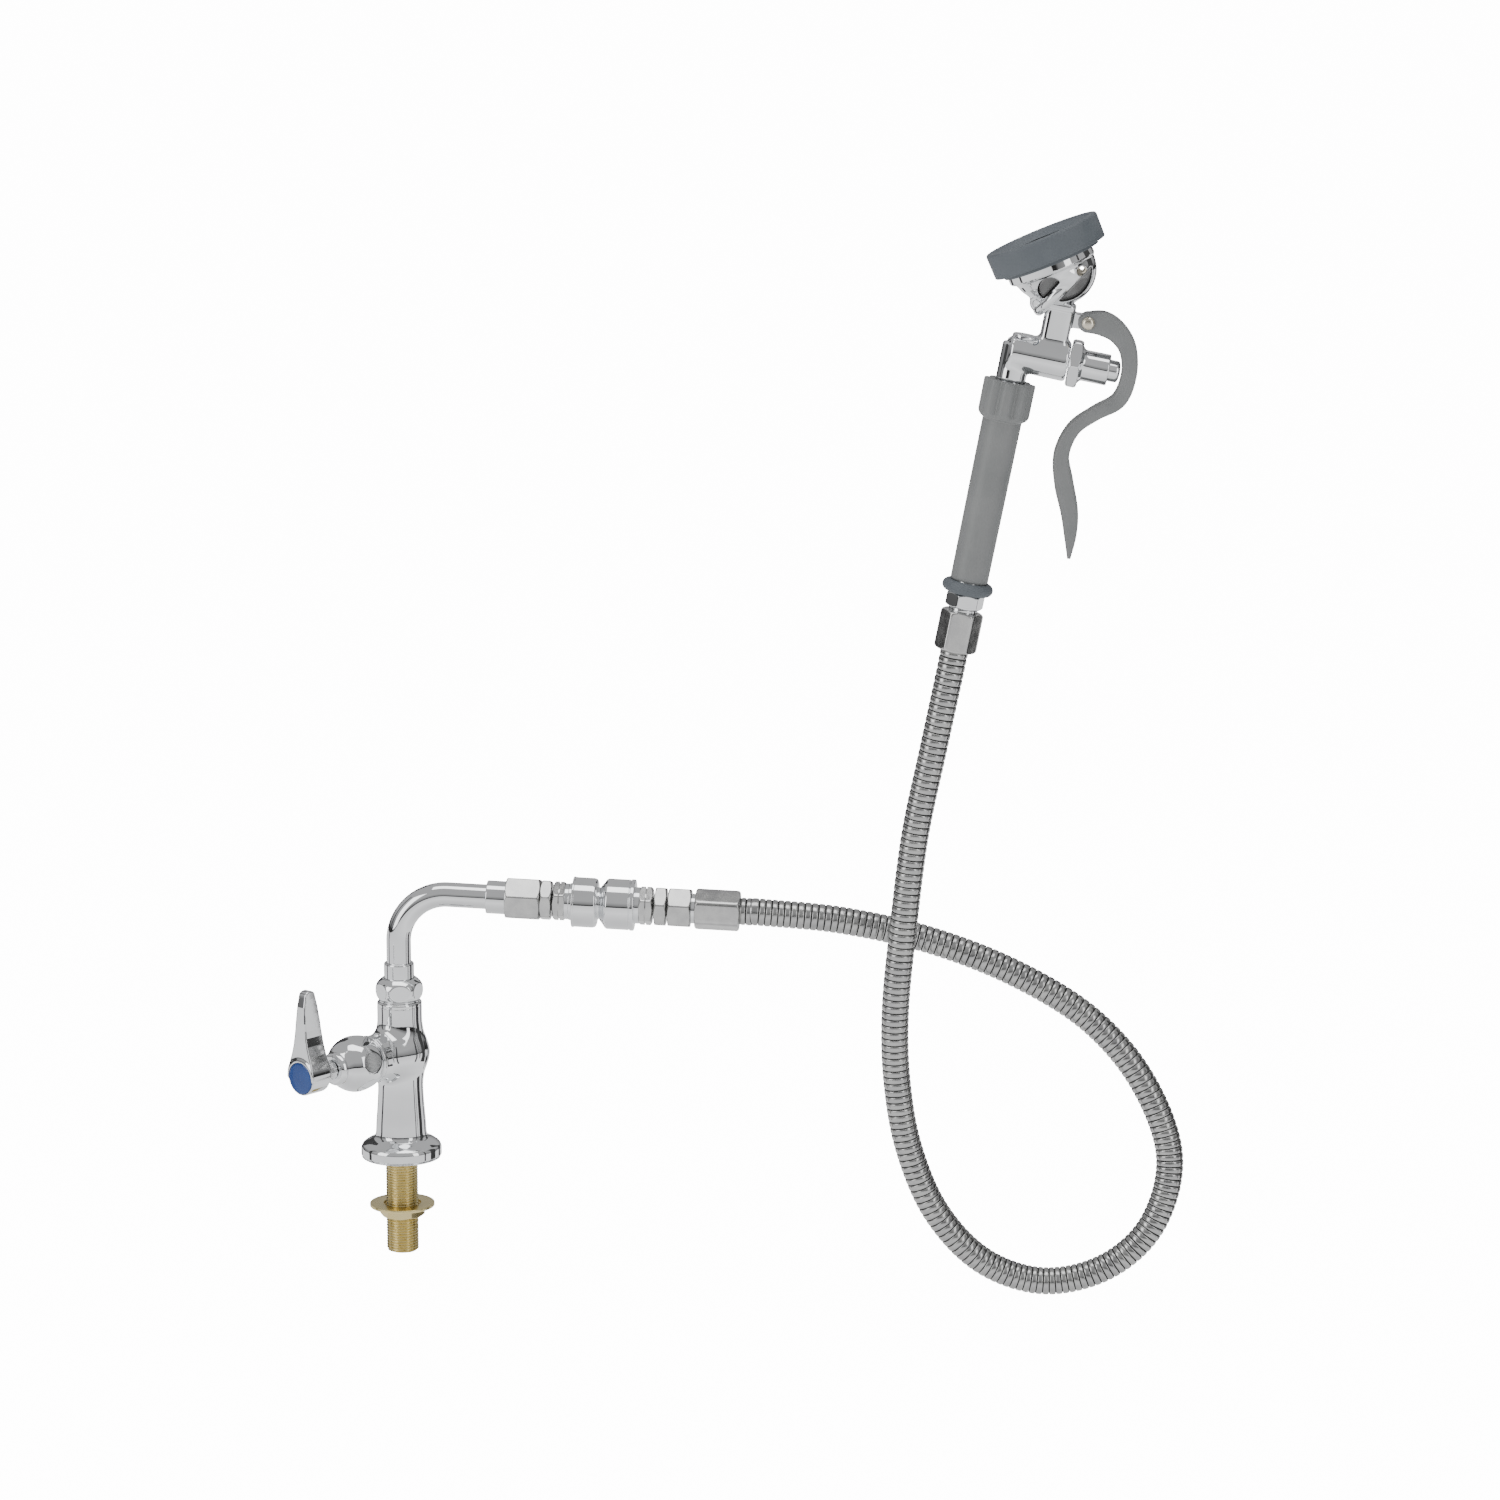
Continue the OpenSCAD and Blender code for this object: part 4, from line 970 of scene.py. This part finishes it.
def face_axes(x, z):
    """Distances along the spray face's axis and across it, in the grip's frame."""
    turn = math.radians(HEAD_TILT)
    dx, dz = x - HEAD_ROOT[0], z - HEAD_ROOT[1]
    return (-dx * math.sin(turn) + dz * math.cos(turn),
            dx * math.cos(turn) + dz * math.sin(turn))


def band_axes(x, z):
    """Distances off the hood's band and along it, in the grip's frame."""
    tilt = math.radians(BAND_TILT)
    bx, bz = x - BAND[0], z - BAND[1]
    return (bx * math.sin(tilt) + bz * math.cos(tilt),
            bx * math.cos(tilt) - bz * math.sin(tilt))


def head_pockets(x, y, z):
    """The cast recesses on both sides of the hood, beyond its band and before it."""
    along, _ = face_axes(x, z)
    off, _ = band_axes(x, z)
    pocket = soft_max(np.hypot(x - HOOD[0], z - HOOD[1]) - 18.4, 4.2 - off, 1.6)
    pocket = soft_max(pocket, 4.2 - np.abs(y), 1.6)
    pocket = soft_max(pocket, along - 21, 1.6)
    side_pocket = soft_max(np.hypot(x - 12.5, z - 62) - 7.5, 3.4 + off, 1.6)
    side_pocket = soft_max(side_pocket, 10 - np.abs(y), 1.6)
    return soft_min(pocket, side_pocket, 0.1)


def head_field(x, y, z):
    """Spray head in the grip's frame: dome, round hood, band across it and pockets."""
    along, across = face_axes(x, z)
    dome = soft_max((np.hypot(across + 1.5, y) - head_radius(along)) * 0.75,
                    soft_max(4 - along, along - 30, 0.5), 1.0)
    hood = np.sqrt((x - HOOD[0]) ** 2 + y ** 2 + (z - HOOD[1]) ** 2) - 21.5
    hood = soft_max(hood, along - 29, 0.6)
    lobe = np.sqrt((x - 7.5) ** 2 + (y * 0.8) ** 2 + (z - 50.5) ** 2) - 5.6
    off, span = band_axes(x, z)
    ring = np.hypot(np.hypot(span, y) - 18.3, off * 0.8) - 2.4
    neck = soft_max(np.hypot(x - 20, y) - 8.2, soft_max(53 - z, z - 68, 0.5), 1.0)
    solid = soft_min(dome, hood, 3.0)
    solid = soft_min(solid, lobe, 3.0)
    solid = soft_min(solid, neck, 3.0)
    solid = soft_max(solid, -head_pockets(x, y, z), 1.2)
    solid = soft_min(solid, ring, 0.8)
    from_eye = np.hypot(x - EYE[0], z - EYE[1])
    rim = soft_max(np.abs(from_eye - 4.2) - 1.2, np.abs(y) - 4.2, 0.6)
    solid = soft_min(solid, rim, 0.6)
    return soft_max(solid, 3.0 - from_eye, 0.4)


def make_head():
    head = carved("spray_head_casting", head_field, (-16, -31, 42), (42, 31, 97), 0.5, GRIP)
    stands_for(head, "spray_head")
    # The faces in the pockets get the dark grey metal: painted shade
    head.data.materials.append(MATERIALS["pocket_shade"])
    centres = np.array([GRIP.inverted() @ f.center for f in head.data.polygons])
    pocket_shade_faces = level_of(head_pockets, centres) < 0.25
    head.data.polygons.foreach_set("material_index", pocket_shade_faces.astype(int))
    bush = turned("eye_bushing", [(1.3, -4.4), (3.1, -4.4), (3.1, 4.4), (1.3, 4.4)],
                  shifted(GRIP, (EYE[0], 0, EYE[1]), 90, "X"), soft=0.5, n=48)
    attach(bush, "spray_valve")
    bush.data.materials.append(MATERIALS["nickel"])
    bumper = turned("face_bumper", [
        (27.5, 28.5), (30.8, 28.5), (30.8, 30.8), (35.6, 30.8), (36, 31.3), (36.3, 45.6),
        (35.6, 46.7), (31.6, 46.7), (30.6, 45.6), (25.4, 43.4), (24.2, 42.1),
        (27.5, 42.1)], HEAD, soft=0.7, n=160)
    stands_for(bumper, "spray_bumper")


# ---------------------------------------------------------------- springs


def wire_spring(node, joint, matrix, span, held_at, r, wire, turns, travel):
    """Coil spring between two heights. joint and held_at are not used."""
    z0, z1 = span
    steps = turns * 20
    line = []
    for k in range(steps + 1):
        a = 2 * math.pi * turns * k / steps
        line.append(Vector((r * math.cos(a), r * math.sin(a),
                            z0 + wire + (z1 - z0 - 2 * wire) * k / steps)))
    spring = round_bar(node + "_wire", line, headings(line), wire, (0, 0, 1), 10, matrix)
    stands_for(spring, node)
    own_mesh(spring)


def make_springs():
    for node, joint, matrix, span, held_at, r, wire, turns, travel in (
            ("first_check_spring", "first_check_slide", ARM, (62.1, 68.2), 68.2, 3.4, 0.4,
             4, 3.05),
            ("second_check_spring", "second_check_slide", ARM, (81.1, 88.4), 88.4, 3.4,
             0.4, 4, 3.05),
            ("return_spring", "plunger_slide", BARREL, (42.05, 51.95), 42.05, 5.2, 0.6,
             5, 4.75)):
        wire_spring(node, joint, matrix, span, held_at, r, wire, turns, travel)


make_grip()
make_valve_body()
make_lever()
make_head()
make_springs()

# ---------------------------------------------------------------- carried solids


def dress_solids():
    """Give every solid its slot's material and softened edges."""
    for name, obj in frame["nodes"].items():
        obj.data.materials.clear()
        obj.data.materials.append(MATERIALS[NODE_SLOT[name]])
        weld = obj.modifiers.new("weld", "WELD")
        weld.merge_threshold = 0.00001
        bevel = obj.modifiers.new("edges", "BEVEL")
        bevel.width, bevel.segments = 0.0002, 2
        bevel.limit_method, bevel.angle_limit = "ANGLE", math.radians(35)


dress_solids()

# ---------------------------------------------------------------- stage and lights


def make_stage():
    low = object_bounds()[0]
    mesh = bpy.data.meshes.new("floor")
    size, z = 30.0, low[2] - 0.001
    mesh.from_pydata([(-size, -size, z), (size, -size, z), (size, size, z),
                      (-size, size, z)], [], [(0, 1, 2, 3)])
    floor = bpy.data.objects.new("floor", mesh)
    floor.data.materials.append(FLOOR_MATERIAL)
    floor.visible_glossy = False
    floor.visible_diffuse = False
    bpy.context.scene.collection.objects.link(floor)


def area_light(name, location, target, size, radiance):
    """Soft box of that radiance, pointed at the target."""
    data = bpy.data.lights.new(name, "AREA")
    data.shape = "RECTANGLE"
    data.size, data.size_y = size
    data.energy = radiance * math.pi * size[0] * size[1]
    lamp = bpy.data.objects.new(name, data)
    lamp.location = location
    aim = Vector(target) - Vector(location)
    lamp.rotation_euler = aim.to_track_quat("-Z", "Y").to_euler()
    bpy.context.scene.collection.objects.link(lamp)


def make_world():
    """Grey studio: dark at the height of the lens, paler above and below."""
    world = bpy.data.worlds.new("studio")
    world.use_nodes = True
    tree = world.node_tree
    link = tree.links.new
    place = node_of(tree, "ShaderNodeTexCoord")
    split = node_of(tree, "ShaderNodeSeparateXYZ")
    ramp = node_of(tree, "ShaderNodeValToRGB")
    link(place.outputs["Generated"], split.inputs["Vector"])
    height = node_of(tree, "ShaderNodeMath", operation="MULTIPLY_ADD")
    height.inputs[1].default_value = 0.5
    height.inputs[2].default_value = 0.5
    link(split.outputs["Z"], height.inputs[0])
    link(height.outputs[0], ramp.inputs["Fac"])
    stops = [(0.0, 0.9), (0.25, 1.25), (0.462, 1.0), (0.468, 0.02), (0.5, 0.03),
             (0.52, 0.22), (0.66, 0.5), (1.0, 0.5)]
    ramp.color_ramp.elements[0].position = stops[0][0]
    ramp.color_ramp.elements[1].position = stops[-1][0]
    for position, _ in stops[1:-1]:
        ramp.color_ramp.elements.new(position)
    for element, (_, shade) in zip(ramp.color_ramp.elements, stops):
        element.color = (shade, shade, shade * 1.01, 1)
    link(ramp.outputs["Color"], tree.nodes["Background"].inputs["Color"])
    bpy.context.scene.world = world


def make_lights():
    centre = (0.22, 0, 0.25)
    area_light("left_box", (-2.0, -1.7, 1.1), centre, (1.4, 2.2), 2.4)
    area_light("right_box", (2.3, -1.9, 1.0), centre, (0.8, 2.2), 2.0)
    area_light("top_box", (0.2, -0.3, 2.4), centre, (2.2, 1.1), 2.6)


def dark_flag(name, azimuth, width):
    """Tall dark panel round the object, seen only in its reflections.

    The azimuth is turned from the camera's side towards the right.
    """
    distance, height = 2.2, 3.2
    a = math.radians(azimuth)
    mesh = bpy.data.meshes.new(name)
    w, h = width / 2, height / 2
    mesh.from_pydata([(-w, 0, -h), (w, 0, -h), (w, 0, h), (-w, 0, h)], [], [(0, 1, 2, 3)])
    flag = bpy.data.objects.new(name, mesh)
    flag.location = (0.2 + distance * math.sin(a), -distance * math.cos(a), 0.3)
    flag.rotation_euler = (0, 0, a)
    bpy.context.scene.collection.objects.link(flag)
    flag.data.materials.append(MATERIALS["black_rubber"])
    flag.visible_camera = False
    flag.visible_diffuse = False
    flag.visible_shadow = False


def make_flags():
    for name, azimuth, width in (("flag_right", 78, 0.2), ("flag_far_right", 112, 0.9),
                                 ("flag_left", -92, 0.35), ("flag_back_left", -146, 0.6),
                                 ("flag_back_right", 150, 0.5)):
        dark_flag(name, azimuth, width)


make_stage()
make_world()
make_lights()
make_flags()
